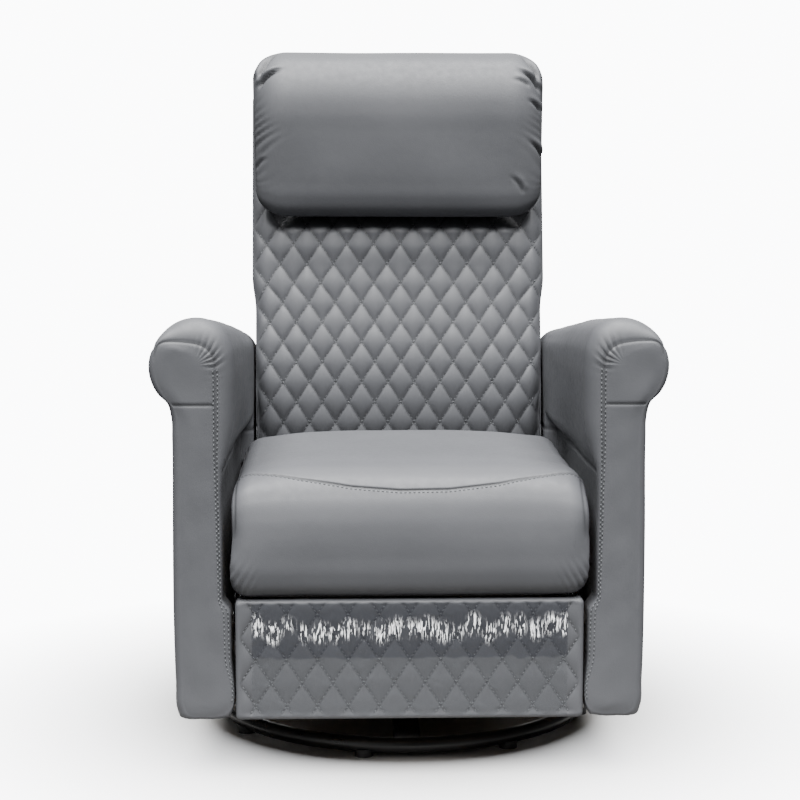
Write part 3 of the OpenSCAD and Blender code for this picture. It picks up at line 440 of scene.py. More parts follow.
def finish_named(name, **fixed):
    """A new material with its tree, its surface shader, set to fixed values, and its object coordinates."""
    made = bpy.data.materials.new(name)
    made.use_nodes = True
    tree = made.node_tree
    surface = tree.nodes["Principled BSDF"]
    feed(tree, surface, **fixed)
    return made, tree, surface, add(tree, "TexCoord").outputs["Object"]


def grey_leather():
    """Slate grey polyurethane-coated split leather, embossed with a fine pebble: even colour, a satin top
    coat, and painted shade that darkens it in seams, creases and pleats."""
    gloss = {"IOR": 1.5, "Specular_IOR_Level": 0.36, "Coat_Weight": 0.03, "Coat_Roughness": 0.4}
    made, tree, surface, place = finish_named("Slate PU leather", **gloss)
    # Pebble cells of 1.6 mm: the real emboss of about 1 mm is too fine to show
    edges = {"feature": "DISTANCE_TO_EDGE"}
    cells = add(tree, "TexVoronoi", edges, Vector=place, Scale=1 / (1.6 * MM))
    pebble = add(tree, "MapRange", Value=cells, From_Max=0.35)
    # Cloudy change of tone over 90 mm and short handling creases of 12 mm
    cloud = add(tree, "TexNoise", Vector=place, Scale=1 / (90 * MM), Detail=3.0)
    fine = add(tree, "TexNoise", Vector=place, Scale=1 / (12 * MM), Detail=5.0, Roughness=0.6)
    shades = {"stops": ((0.3, colours().leather), (0.7, "4d4e51"))}
    tone = add(tree, "ValToRGB", shades, Fac=cloud)
    # Painted shade: a mesh attribute from 0 to 1 marks seams, quilt lines, pleats and gathers, and the leather
    # darkens there towards near-black
    crease = add(tree, "Attribute", {"attribute_name": "crease"}).outputs["Fac"]
    painted_shade = add(tree, "MapRange", Value=crease, To_Max=0.8)
    colour = add(tree, "Mix", {"data_type": "RGBA"}, i0=painted_shade, i6=tone, i7=linear("1b1c1d"))
    rough = add(tree, "MapRange", Value=fine, From_Min=0.3, From_Max=0.7, To_Min=0.48, To_Max=0.6)
    grain = add(tree, "Bump", Height=pebble, Strength=0.22, Distance=0.25 * MM)
    soft = add(tree, "Bump", Height=fine, Strength=0.3, Distance=0.5 * MM, Normal=grain)
    feed(tree, surface, Base_Color=colour, Roughness=rough, Normal=soft)
    return made


def sewing_thread():
    """Bonded polyester thread, twisted: matt, close to the leather's colour."""
    made, tree, surface, place = finish_named("Bonded polyester thread", Roughness=0.6, IOR=1.5)
    # Twist of 0.8 mm drawn at 1.2 mm
    twist = add(tree, "TexNoise", Vector=place, Scale=1 / (1.2 * MM))
    shades = {"stops": ((0.35, "47494b"), (0.65, colours().thread))}
    feed(tree, surface, Base_Color=add(tree, "ValToRGB", shades, Fac=twist))
    return made


def worn(name, drift, shades, rough, relief=None, **fixed):
    """A plain finish whose colour and roughness drift with a noise, given by its size and detail, over
    stops of colour and a range of roughness, and which has the relief of another noise, given by its
    size, detail, strength and height."""
    made, tree, surface, place = finish_named(name, **fixed)
    size, detail = drift
    cloud = add(tree, "TexNoise", Vector=place, Scale=1 / size, Detail=detail)
    tone = add(tree, "ValToRGB", {"stops": shades}, Fac=cloud)
    sheen = add(tree, "MapRange", Value=cloud, From_Min=0.3, From_Max=0.7, To_Min=rough[0], To_Max=rough[1])
    feed(tree, surface, Base_Color=tone, Roughness=sheen)
    if relief:
        size, detail, strength, height = relief
        grain = add(tree, "TexNoise", Vector=place, Scale=1 / size, Detail=detail)
        feed(tree, surface, Normal=add(tree, "Bump", Height=grain, Strength=strength, Distance=height))
    return made


def powder_coat():
    """Satin black powder coat on steel: a shallow orange peel of 2 mm, a little duller where handled."""
    shades = (0.3, colours().enamel), (0.75, "1d1d1e")
    peel = 2 * MM, 1.0, 0.25, 0.1 * MM
    return worn("Satin black powder coat", (60 * MM, 4.0), shades, (0.26, 0.42), peel, IOR=1.5)


def zinc_plate():
    """Clear zinc plate on steel: a bright grey metal with soft clouding of 20 mm and fine rolling marks."""
    shades = (0.3, "a9abac"), (0.7, "c6c8c9")
    marks = 1.5 * MM, 2.0, 0.15, 0.05 * MM
    return worn("Clear zinc plate", (20 * MM, 4.0), shades, (0.3, 0.46), marks, Metallic=1.0)


def spring_wire():
    """Oil-hardened spring wire with a dark scale: brown-black, half metallic, slightly greasy."""
    shades = (0.35, "232122"), (0.7, "3a3735")
    return worn("Oil-hardened spring wire", (8 * MM, 5.0), shades, (0.32, 0.55), Metallic=0.8)


def moulded_plastic(name, low, high):
    """Injection-moulded plastic with a spark-eroded texture of 0.8 mm."""
    grit = 0.8 * MM, 2.0
    shades = (0.3, low), (0.7, high)
    return worn(name, grit, shades, (0.4, 0.56), (*grit, 0.3, 0.08 * MM), IOR=1.46)


def softwood():
    """Planed pine: growth rings some 35 mm apart on the sawn face, stretched along the plank, fine fibre,
    a dry matt face."""
    made, tree, surface, place = finish_named("Planed pine", IOR=1.5)
    plank = add(tree, "Mapping", Vector=place, Scale=(1.0, 0.25, 1.0))
    rings = {"wave_type": "RINGS"}
    ring = add(tree, "TexWave", rings, Vector=plank, Scale=9.0, Distortion=4.0, Detail=3.0).outputs["Fac"]
    fibre = add(tree, "TexNoise", Vector=plank, Scale=1 / (1.5 * MM), Detail=3.0)
    shades = {"stops": ((0.1, "b98f5c"), (0.8, colours().timber))}
    tone = add(tree, "ValToRGB", shades, Fac=ring)
    rough = add(tree, "MapRange", Value=fibre, From_Min=0.3, From_Max=0.7, To_Min=0.55, To_Max=0.75)
    bump = add(tree, "Bump", Height=fibre, Strength=0.3, Distance=0.2 * MM)
    feed(tree, surface, Base_Color=tone, Roughness=rough, Normal=bump)
    return made


def woven_webbing():
    """Elastic upholstery webbing: black polypropylene with pale rubber threads, woven 4 mm apart both
    ways."""
    made, tree, surface, place = finish_named("Woven elastic webbing", IOR=1.5)
    # A wave of this scale is 12.5 mm times 0.314, or 3.9 mm, long
    rib, weft = (
        add(tree, "TexWave", {"bands_direction": way}, Vector=place, Scale=1 / (12.5 * MM)).outputs["Fac"]
        for way in "XZ"
    )
    weave = add(tree, "Math", {"operation": "MULTIPLY"}, i0=rib, i1=weft)
    tone = add(tree, "ValToRGB", {"stops": ((0.1, "1a1a1b"), (0.9, "3b3a38"))}, Fac=weave)
    rough = add(tree, "MapRange", Value=weave, To_Min=0.9, To_Max=0.7)
    bump = add(tree, "Bump", Height=weave, Strength=0.5, Distance=0.4 * MM)
    feed(tree, surface, Base_Color=tone, Roughness=rough, Normal=bump)
    return made


def film_plastic():
    """Clear polyethylene wrap, blown thin: see-through and hazy grey, with a painted reflection as a darker
    blue-grey band over its upper part, and painted highlights as bright white strokes in clusters."""
    made, tree, surface, place = finish_named("Clear polyethylene wrap", IOR=1.5, Roughness=0.22)
    haze = add(tree, "Attribute", {"attribute_name": "haze"}).outputs["Fac"]
    glint = add(tree, "Attribute", {"attribute_name": "glint"}).outputs["Fac"]
    # Painted highlights as strokes about 1 mm wide and 10 mm long: each row is how far they lean from
    # upright, in degrees, and the size of their noise across
    part = 0.0
    for lean, width in ((22, 2.2 * MM), (-26, 2.5 * MM), (75, 3 * MM)):
        turn, scale = (0, math.radians(lean), 0), (1 / width, 1, 1 / (16 * MM))
        turned = add(tree, "Mapping", Vector=place, Rotation=turn, Scale=scale)
        strokes = add(tree, "TexNoise", Vector=turned, Scale=1.0, Detail=1.0, Distortion=0.6)
        highlight_stroke = add(tree, "MapRange", Value=strokes, From_Min=0.615, From_Max=0.65)
        part = add(tree, "Math", {"operation": "MAXIMUM"}, i0=part, i1=highlight_stroke)
    glint_cluster = add(tree, "MapRange", Value=glint, From_Min=0.1, From_Max=0.45)
    # Painted highlights: the strokes inside the glint clusters, drawn white and nearly opaque
    fold = add(tree, "Math", {"operation": "MULTIPLY"}, i0=part, i1=glint_cluster)
    # Painted reflection: over the band near its top the film turns a darker blue-grey and less clear
    tone = add(tree, "Mix", {"data_type": "RGBA"}, i0=haze, i6=linear("55575a"), i7=linear("33353b"))
    colour = add(tree, "Mix", {"data_type": "RGBA"}, i0=fold, i6=tone, i7=linear("fbfcfd"))
    thin = add(tree, "MapRange", Value=haze, To_Min=0.3, To_Max=0.42)
    dense = add(tree, "Math", {"operation": "MAXIMUM"}, i0=thin, i1=fold)
    crinkle = add(tree, "TexNoise", Vector=place, Scale=1 / (10 * MM), Detail=4.0)
    bump = add(tree, "Bump", Height=crinkle, Strength=0.5, Distance=1.0 * MM)
    feed(tree, surface, Base_Color=colour, Alpha=dense, Normal=bump)
    return made


# Forms

# The section of the right arm in millimetres, X outward and Z up: its outline at its fullest, and then
# the seam of its facing, point for point
ARM_FULL = [
    (283, 86), (275, 88), (272, 96), (272, 180), (272, 268), (272, 360), (272, 440), (270.5, 456),
    (266, 472), (256, 516), (252, 564), (251.5, 603), (255.5, 635), (269, 660), (291, 672.5), (312, 674.5),
    (335, 668), (356, 651), (370, 628), (375, 607), (373, 587), (362, 564), (349, 551), (343.5, 530),
    (343, 500), (344, 361), (344, 224), (342, 140), (339.5, 96), (336, 88), (328, 86), (305, 86),
]
ARM_SEAM = [
    (284, 93), (277, 95), (273, 102), (273.5, 180), (274.5, 268), (276.5, 360), (278, 440), (278.5, 456),
    (279, 472), (279, 515), (279, 560), (279, 592), (280.5, 611), (287, 626), (300, 635), (316, 638.5),
    (338, 640), (356, 638), (364, 627), (366, 608), (363, 587), (353, 564), (340, 547), (333, 530),
    (331, 500), (331.5, 361), (331.5, 224), (330, 140), (328, 106), (325, 98), (319, 94), (302, 93),
]
# X of the upright line that the facing and the rear face close onto
SPINE = 309 * MM
# The facing's straight part, from its bottom corners to where the roll's top begins
STRAIGHT_LOW, STRAIGHT_HIGH = 110 * MM, 600 * MM
# The arm's top falls by the first of these evenly towards the rear, and by the second as a square
ARM_SLOPE = 44 * MM
ARM_DROP = 16 * MM
# Points further in than the first X are the inner side, which fills out to the second beside the back
ARM_INNER = 278 * MM
ARM_BESIDE_BACK = 250.5 * MM
# Beside the legrest pad the inner side fills out again: by at most the first, from the second X inwards
ARM_PAD_FILL = 12 * MM
ARM_BESIDE_PAD = 284 * MM
# Heights where the roll begins to sink, of the level seam under it and of its top
ROLL_BASE = 545 * MM
ROLL_SEAM = 549 * MM
ARM_TOP = ARM_HIGH[2]
# Rounding of the arm's rear edge, and how many points run round its section
ARM_ROUND = 10 * MM
ARM_COLUMNS = 300


def facing_halves(ring, count):
    """A closed ring of outline and seam as two halves of count points each, split where the seam passes
    the facing's spine. In the facing's straight part, point k lies level with the one k places back from
    the start, closer together about the seam under the roll; above and below, both halves go by length."""
    x, z = ring[:, 2], ring[:, 3]
    high = z > z.mean()
    low_end, top_end = (int(np.argmin(np.abs(x - SPINE) + part)) for part in (high, ~high))
    ring = np.roll(ring, -low_end, axis=0)
    top_end = (top_end - low_end) % len(ring)
    found = []
    low_part, closer, top_part = 30 * MM, 16 * MM, 80 * MM
    top_start = low_part + STRAIGHT_HIGH - STRAIGHT_LOW + closer
    for half in (ring[: top_end + 1], np.vstack([ring[top_end:], ring[:1]])[::-1]):
        arc = walked_along(half[:, 2:])
        z = half[:, 3]
        start, end = np.argmax(z > STRAIGHT_LOW), np.argmax(z > STRAIGHT_HIGH)
        key = low_part + z - STRAIGHT_LOW + closer * smooth(z, ROLL_SEAM - 11 * MM, ROLL_SEAM + 11 * MM)
        key[:start] = low_part * arc[:start] / arc[start]
        key[end:] = top_start + top_part * (arc[end:] - arc[end]) / (arc[-1] - arc[end])
        marks = np.linspace(0, top_start + top_part, count + 1)
        found.append(np.column_stack([np.interp(marks, key, column) for column in half.T]))
    return np.vstack([found[0][:-1], found[1][:0:-1]])


def arm_grid():
    """A padded arm as rings round its section. From rear to front a ring is the full outline, whose top
    falls towards the rear and whose inner side fills out beside the back. At the front it turns through
    a quarter round into the outline of the seam, and goes on inward as the facing, which swells by a
    quarter wave ahead of its seam."""
    ring = closed_curve(MM * np.hstack([ARM_FULL, ARM_SEAM]), 4 * ARM_COLUMNS, lead=2)
    pair = facing_halves(ring, ARM_COLUMNS // 2)
    full, seam = pair[:, :2], pair[:, 2:]
    front, rear = ARM_LOW[1] + 4.5 * MM, ARM_HIGH[1]

    def lowered(section, y):
        """The section at depth y: its inner side fills out from 448 mm up beside the back, from 390 mm up
        right at the rear, and below 266 mm beside the legrest pad, but there it leaves room above 206 mm
        for the seat's pivots. Its roll sinks in the share that the arm's top has fallen."""
        back = (y - front) / (rear - front)
        fall = ARM_SLOPE * back + ARM_DROP * np.clip(back, 0, 1) ** 2
        x, z = section[..., 0], section[..., 1]
        below_top = 1 - smooth(z, 596 * MM, 640 * MM)
        beside_back = smooth(z, 448 * MM, 482 * MM) * smooth(y, -200 * MM, 50 * MM)
        at_rear = smooth(z, 390 * MM, 398 * MM) * smooth(y, 108 * MM, 125 * MM)
        near = np.clip((ARM_INNER - x) / (4 * MM), 0, 1) * below_top * np.maximum(beside_back, at_rear)
        x = x + (ARM_BESIDE_BACK - x) * near
        by_pivots = smooth(z, 206 * MM, 228 * MM)
        start = -(300 + 45 * by_pivots) * MM
        beside_pad = 1 - smooth(y, start, start + (60 - 50 * by_pivots) * MM)
        beside_pad = beside_pad * (1 - smooth(z, 244 * MM, 266 * MM))
        x = x - np.clip(ARM_BESIDE_PAD - x, 0, ARM_PAD_FILL) * beside_pad
        up = np.clip((z - ROLL_BASE) / (ARM_TOP - ROLL_BASE), 0, None)
        return np.stack([x, y, z - up * fall], axis=-1)

    level = np.clip(seam[:, 1], 126 * MM, 606 * MM)
    opposite = level[-np.arange(ARM_COLUMNS)]
    spine = np.column_stack([np.full(ARM_COLUMNS, SPINE), 0.5 * (level + opposite)])
    depth = np.clip(1.15 * np.linalg.norm(full - seam, axis=1), 11 * MM, 30 * MM)
    rows = []
    reach = np.linalg.norm(full - spine, axis=1)
    for d in MM * np.array([60, 40, 24, 12, 5, 0]):
        share = np.minimum(1, (d + ARM_ROUND) / reach)[:, None]
        rows.append(lowered(full + (spine - full) * share, np.full(ARM_COLUMNS, rear)))
    for a in np.linspace(0, np.pi / 2, 7)[1:]:
        share = (ARM_ROUND * (1 - np.sin(a)) / reach)[:, None]
        y = np.full(ARM_COLUMNS, rear - ARM_ROUND * (1 - np.cos(a)))
        rows.append(lowered(full + (spine - full) * share, y))
    for t in np.linspace(0, 1, 190)[1:]:
        rows.append(lowered(full, rear - ARM_ROUND + (front + depth - rear + ARM_ROUND) * t))
    for a in np.linspace(0, np.pi / 2, 15)[1:]:
        rows.append(lowered(full + (seam - full) * (1 - np.cos(a)), front + depth * (1 - np.sin(a))))
    seam_row = len(rows) - 1
    reach = np.linalg.norm(seam - spine, axis=1)
    for d in MM * np.array([1.2, 3, 5, 8, 11, 14, 18, 22, 26, 31, 40, 80]):
        swell = 2.5 * MM * np.sin(np.clip(np.minimum(d, reach) / (20 * MM), 0, 1) * np.pi / 2)
        share = np.minimum(1, d / np.maximum(reach, 1e-9))[:, None]
        rows.append(lowered(seam + (spine - seam) * share, front - swell))
    return np.stack(rows), seam_row, full, seam


def arm_padding(side):
    """One arm cover with its seams pressed in, gathers at the facing's inner top corner and soft creases:
    each is a bell across the seam, or a wave along the edge that dies out away from it, along the
    surface's normal. The seams are the facing's edge, the level one under the roll, one along the inner
    side and one along the outside of the roll. Gives the grid, the painted shade of its seams and
    gathers, and the lines of topstitching."""
    s = sizes()
    p, seam_row, full, seam = arm_grid()
    n = outward_normals(p)
    walked = walked_along(p)
    from_seam = walked - walked[seam_row]
    x, y, z = p[..., 0], p[..., 1], p[..., 2]
    ring = walked_along(seam)
    sewn = smooth(seam[:, 1], 100 * MM, 130 * MM) * (1 - smooth(seam[:, 0], 281 * MM, 300 * MM))
    sewn = np.maximum(sewn, smooth(seam[:, 1], 612 * MM, 626 * MM))[None, :]
    start = ring[np.argmin(np.hypot(seam[:, 0] - 284 * MM, seam[:, 1] - 620 * MM))]
    corner = bell(ring - start, 24 * MM)
    groove = bell(from_seam, 2 * MM) * sewn
    facing = from_seam > 1 * MM
    n[facing] = (0.0, -1.0, 0.0)
    level = bell(z - ROLL_SEAM, 1.7 * MM) * facing * smooth(x, 281 * MM, 285 * MM)
    inside = (full[None, :, 0] < 280 * MM) & (from_seam < -12 * MM)
    notch = bell(z - 450 * MM, 2 * MM) * inside
    back = (y - p[seam_row, 0, 1]) / (p[0, 0, 1] - p[seam_row, 0, 1])
    along = bell(z - 632 * MM + ARM_SLOPE * back, 2 * MM) * (full[None, :, 0] > 350 * MM) * (from_seam < 0)
    # Painted shade darkens the facing's seam, the level seam under the roll, the inner notch and the seam along
    # the roll
    crease = np.maximum(np.maximum(0.5 * groove, 0.8 * level), np.maximum(0.8 * notch, 0.7 * along))
    height = -s.seam_depth * np.maximum(0.35 * groove, 0.5 * level) - 2 * MM * np.maximum(notch, 0.7 * along)
    bent = ring + 1.5 * MM * ripple(ring / ring[-1], (9, 14, 23), 7 + side)
    gather = np.sin(2 * np.pi * bent / (8.5 * MM))[None, :] * corner[None, :]
    spread = np.where(from_seam > 0, bell(from_seam - 3 * MM, 10 * MM), bell(from_seam + 4 * MM, 12 * MM))
    height = height + 1.5 * MM * gather * spread
    # Painted shade in the valleys of the gathers as well
    crease = np.maximum(crease, 0.75 * np.clip(-gather, 0, 1) * spread)
    away = smooth(-from_seam, 10 * MM, 50 * MM) * smooth(ARM_HIGH[1] - y, 1 * MM, 30 * MM)
    height = height + away * 0.7 * MM * rumple(y, ring[None, :] + 0 * y, 0.16, 5 + side)
    height = height + facing * 0.4 * MM * rumple(x, z, 0.07, 11 + side) * smooth(from_seam, 3 * MM, 15 * MM)
    p = p + n * height[..., None]
    n = outward_normals(p)
    inner_edge = (seam[:, 0] < 300 * MM) & (seam[:, 1] > 112 * MM) & (seam[:, 1] < STRAIGHT_HIGH)
    run = np.flatnonzero(inner_edge)
    return p, crease, [(p[seam_row + k, run], n[seam_row + k, run]) for k in (-1, 2)]


def arm_piece(name, side):
    """An arm cover and its topstitching; on the left a window lets the release cup through."""
    p, crease, lines = arm_padding(side)
    keep = None
    if side < 0:
        p = mirrored(p)
        lines = [(mirrored(a), mirrored(b)) for a, b in lines]
        low, high = BEZEL_LOW + 4 * MM, BEZEL_HIGH - 4 * MM

        def keep(middle):
            """Cells outside the window, which the cup's lip covers."""
            within = (middle[:, 1:] > low[1:]).all(axis=1) & (middle[:, 1:] < high[1:]).all(axis=1)
            return ~(within & (middle[:, 0] < high[0]))

    return closed_form(name, p, crease, keep, "sealed"), stitches(name + "_stitching", lines)


def rounded_loop(half, front, rear, radius, across):
    """A level loop of a box with its corners rounded: the front is across points wide, then a corner, the
    side, a corner and the rear. Gives X and depth."""
    turn = np.linspace(0, np.pi / 2, 12)
    r = min(radius, (rear - front) / 2 - 0.5 * MM)
    line = np.linspace(-half + r, half - r, across)
    front_run = np.column_stack([line, np.full(across, front)])
    corner = np.column_stack([half - r + r * np.sin(turn), front + r - r * np.cos(turn)])[1:]
    side = np.column_stack([np.full(14, half), np.linspace(front + r, rear - r, 16)[1:-1]])
    rear_corner = np.column_stack([half - r + r * np.cos(turn), rear - r + r * np.sin(turn)])
    rear_run = np.column_stack([np.linspace(half - r, -half + r, 42)[1:-1], np.full(40, rear)])
    turned = [(q * np.array([-1, 1]))[::-1] for q in (rear_corner, side, corner)]
    return np.vstack([front_run, corner, side, rear_corner, rear_run, *turned])


def block_grid(half, front, rear, low, high, radius, end_radius, across, rows):
    """A padded block as rings stacked from low to high. A ring is a rounded loop; near each end it draws
    in through a quarter round, and on the end face it closes onto its middle line."""
    loop = rounded_loop(half, front, rear, radius, across)
    mid = (front + rear) / 2
    room = (rear - front) / 2
    middle = np.column_stack([np.clip(loop[:, 0], -half + room, half - room), np.full(len(loop), mid)])
    away = loop - middle
    reach = np.linalg.norm(away, axis=1, keepdims=True)
    end = [(d, 0.0) for d in np.linspace(room, end_radius, 6)]
    bend = np.linspace(0, np.pi / 2, 10)[1:]
    end += [(end_radius * (1 - np.sin(a)), end_radius * (1 - np.cos(a))) for a in bend]
    stack = [(d, low + rise) for d, rise in end]
    stack += [(0.0, h) for h in np.linspace(low + end_radius, high - end_radius, rows)[1:-1]]
    stack += [(d, high - rise) for d, rise in end[::-1]]
    rings = []
    for d, h in stack:
        q = loop - away * np.minimum(1, d / reach)
        rings.append(np.column_stack([q[:, 0], q[:, 1], np.full(len(loop), h)]))
    return np.stack(rings)


def diamonds(x, h, middle, phase):
    """A quilt of diamonds: u and v count the lines of stitching that slant each way, the swell is the root
    of the product of |sin(pi u)| and |sin(pi v)|, and the painted shade of the stitched lines is a bell
    about the nearest line."""
    s = sizes()
    u = (x - middle) / s.diamond_width + (h - phase) / s.diamond_height
    v = (x - middle) / s.diamond_width - (h - phase) / s.diamond_height
    swell = np.sqrt(np.abs(np.sin(np.pi * u) * np.sin(np.pi * v)))
    slope = s.diamond_width * s.diamond_height / math.hypot(s.diamond_width, s.diamond_height)
    near = np.minimum(np.abs(u - np.round(u)), np.abs(v - np.round(v))) * slope
    return swell, bell(near, 1.1 * MM)


def quilt_lines(face, low, high, middle, phase):
    """The lines of stitching of a quilt inside a rectangle, read every 2 mm and laid on the face."""
    s = sizes()
    lines = []
    width, tall = high[0] - low[0], high[1] - low[1]
    count = int(width / s.diamond_width + tall / s.diamond_height) + 3
    h = np.linspace(low[1], high[1], int(tall / (2 * MM)))
    for way in (1, -1):
        for k in range(-count, count + 1):
            x = middle + (k - way * (h - phase) / s.diamond_height) * s.diamond_width
            inside = (x > low[0]) & (x < high[0])
            if inside.sum() > 6:
                lines.append(face(x[inside], h[inside]))
    return lines


# Seat cushion: its side outline in millimetres, Y and Z, from the deck's rear round by the front
SEAT_OUTLINE = [
    (76, 336), (20, 335.5), (-150, 335.5), (-325, 335.5), (-334, 331), (-335.5, 318), (-335.5, 300),
    (-337, 284), (-345, 273), (-363, 268), (-384, 269.5), (-397, 280), (-403, 300), (-404.5, 330),
    (-404.5, 362), (-402.5, 390), (-396, 418), (-383, 440), (-360, 452.5), (-325, 456.5), (-250, 457),
    (-150, 457), (-40, 456), (50, 453), (85, 448), (100, 438), (103, 424), (96, 395), (86, 360),
]
# The seat draws in towards a core 395 mm up, whose ends in Y these are, or at its front towards a point
SEAT_CORE = (-372 * MM, 45 * MM)
SEAT_CORE_LEVEL = 395 * MM
SEAT_FRONT_CORE = (-368 * MM, 360 * MM)
# Rounding of the seat's sides, how far its crown falls there, and the seam of its side welt, which runs
# where the sides begin to turn: so many rings out from the middle one
SEAT_ROUND = 30 * MM
SEAT_FALL = 14 * MM
SEAT_WELT_RING = 95
# Where the front panel's seam lies across the seat: X in millimetres, then degrees above level about a
# line 75 mm behind the front and 400 mm up
SEAT_SMILE = [
    (-262, 72), (-245, 68), (-216, 57), (-159, 41), (-87, 28), (-15, 22), (57, 23), (130, 31), (202, 48),
    (245, 62), (262, 66),
]
SMILE_CENTRE = (-330 * MM, 400 * MM)
# How many points run round each ring of the seat, once they stand closer at the seam
SEAT_POINTS = 400


def stations(end, flat, count):
    """Where the rings of a cushion stand from one side to the other, each with how far it is drawn in: the
    places in end at both sides, and between them, as far out as flat, places with no drawing in."""
    middle = np.linspace(0, flat, count)[:-1]
    left = [(-x, d) for x, d in end] + [(-x, 0.0) for x in middle[::-1]]
    return left + [(x, 0.0) for x in middle[1:]] + [(x, d) for x, d in end[::-1]]


def seat_grid():
    """The seat cushion as rings across its width: each is the side outline, drawn in to its core towards
    the sides by a quarter round, with the crown falling as the cube of the distance from the middle."""
    ring = closed_curve(MM * np.array(SEAT_OUTLINE), 320)
    level = np.column_stack([ring[:, 0], np.full(len(ring), SEAT_CORE_LEVEL)])
    anchor = np.where(ring[:, :1] < -320 * MM, SEAT_FRONT_CORE, level)
    anchor[:, 0] = np.clip(anchor[:, 0], *SEAT_CORE)
    away = ring - anchor
    reach = np.maximum(np.linalg.norm(away, axis=1, keepdims=True), 1e-6)
    half, turn = SEAT_HALF, SEAT_ROUND
    end = [(half, d) for d in MM * np.array([90, 60, 46, 38])]
    end += [(half - turn * (1 - np.sin(a)), turn * (1 - np.cos(a))) for a in np.linspace(np.pi / 2, 0, 16)]
    rings = []
    for x, d in stations(end, half - turn, 87):
        q = ring - away * np.minimum(1, d / reach)
        fall = SEAT_FALL * abs(x / half) ** 3 * smooth(q[:, 1], 340 * MM, 450 * MM)
        rings.append(np.column_stack([np.full(len(ring), x), q[:, 0], q[:, 1] - fall]))
    return np.stack(rings)


def closer_at_seam(p):
    """The seat's rings read again with their points four times closer over the roll of the front, where
    the seam runs, by the cubic through the four nearest points of each ring."""
    middle = p[len(p) // 2]
    rise = np.degrees(np.arctan2(middle[:, 2] - SMILE_CENTRE[1], SMILE_CENTRE[0] - middle[:, 1]))
    pace = 1 + 3 * smooth(rise, 6, 14) * (1 - smooth(rise, 80, 90))
    key = np.concatenate([[0], np.cumsum(pace)])
    place = np.interp(np.linspace(0, key[-1], SEAT_POINTS, endpoint=False), key, np.arange(len(key)))
    k = np.floor(place).astype(int)
    t = (place - k)[None, :, None]
    a, b, c, d = (p[:, (k + step) % p.shape[1]] for step in (-1, 0, 1, 2))
    return b + 0.5 * t * (c - a + t * (2 * a - 5 * b + 4 * c - d + t * (3 * (b - c) + d - a)))


def seat_padding():
    """The seat cushion blown up, with the seam of its front panel pressed in along the smile, a welt along
    each side edge, soft creases and gathers at its two bottom front corners. Gives the grid, the painted
    shade of its seams and the line of its topstitching."""
    s = sizes()
    p = seat_grid()
    # Held along its underside, on the deck, and at its rear
    held = (p[..., 2] < 345 * MM) | (p[..., 1] > 60 * MM)
    p = closer_at_seam(plumped(p, held, 6 * MM, 14))
    n = outward_normals(p)
    x, y, z = p[..., 0], p[..., 1], p[..., 2]
    behind, above = y - SMILE_CENTRE[0], z - SMILE_CENTRE[1]
    radius = np.hypot(behind, above)
    rise = np.arctan2(above, -behind)
    places, degrees = np.array(SEAT_SMILE).T
    smile = np.radians(np.interp(x, MM * places, degrees))
    off = (rise - smile) * radius
    ahead = smooth(-y, 300 * MM, 325 * MM)
    seam = bell(off, 1.7 * MM) * ahead
    middle = len(p) // 2
    walked = walked_along(p)
    walked = np.abs(walked - walked[middle])
    side = bell(walked - walked[middle - SEAT_WELT_RING], 2.2 * MM) * smooth(z, 345 * MM, 380 * MM)
    # Painted shade darkens the smile seam and the side welts
    crease = np.maximum(seam, 0.7 * side)
    height = -0.6 * s.seam_depth * seam - 2 * MM * side
    pucker = np.sin(2 * np.pi * x / (11 * MM) + 2 * ripple(x / 0.5, (3, 5, 8), 3))
    height = height + 0.2 * MM * pucker * bell(off, 6 * MM) * ahead
    near_side = smooth(np.abs(x), 170 * MM, 255 * MM)
    height = height + (0.35 + 0.8 * near_side) * MM * rumple(x, y + z, 0.13, 21)
    corner = bell(z - 290 * MM, 26 * MM) * bell(np.abs(x) - 255 * MM, 26 * MM)
    corner = corner * smooth(-y, 380 * MM, 398 * MM)
    height = height + 2 * MM * corner * np.sin(2 * np.pi * (np.abs(x) + 0.6 * z) / (12 * MM))
    p = p + n * height[..., None]
    n = outward_normals(p)
    inner = (ahead > 0.5) & (np.abs(x) < 254 * MM)
    return p, crease, [crossing(p, n, off, -3.5 * MM, inner)]


# Head pillow: its side outline in the back's frame, depth and height in millimetres, from the lower rear
# up the inner side, under and round the hood and down the face; then the point of its middle line that
# each place draws in to at the pillow's two ends
PILLOW_OUTLINE = [
    (-77, 478, -102, 517), (-76.5, 520, -107, 530), (-76.5, 600, -116, 600), (-76, 680, -118, 682),
    (-67, 691, -104, 706), (-57, 697, -80, 711), (-46, 699, -58, 714), (10, 699, 4, 714), (70, 699, 62, 714),
    (90, 702, 72, 714), (98, 712, 74, 714), (95, 732, 74, 714), (78, 748, 70, 714), (40, 757, 38, 714),
    (-5, 761.5, -5, 714), (-50, 762, -50, 714), (-92, 758, -88, 711), (-126, 747, -112, 704),
    (-149, 728, -118, 697), (-162, 700, -119, 685), (-167.5, 668, -119, 664), (-165.5, 635, -119, 635),
    (-157.5, 600, -117, 600), (-146, 560, -113, 562), (-133, 520, -108, 530), (-123, 493, -103, 520),
    (-112, 476, -101, 517), (-98, 468, -100, 516), (-85, 470, -101, 516),
]
# How far inwards from each side the pillow's rings are drawn in
PILLOW_ROUND = 58 * MM


def pillow_grid():
    """The head pillow as rings across its width in the backrest's own frame: a hood over the back's top.
    Near each side a ring draws in towards its middle line by a quarter of an ellipse, one minus the
    cosine of an angle, while it moves out by that angle's sine."""
    pair = closed_curve(MM * np.array(PILLOW_OUTLINE), 280, lead=2)
    ring, core = pair[:, :2], pair[:, 2:]
    half, turn = PILLOW_HALF, PILLOW_ROUND
    end = [(half - turn * (1 - np.sin(a)), 1 - np.cos(a)) for a in np.linspace(1.5, 0, 28)]
    rings = []
    for x, share in stations(end, half - turn, 83):
        q = ring + (core - ring) * share
        rings.append(np.column_stack([np.full(len(ring), x), q[:, 0], q[:, 1]]))
    return np.stack(rings)


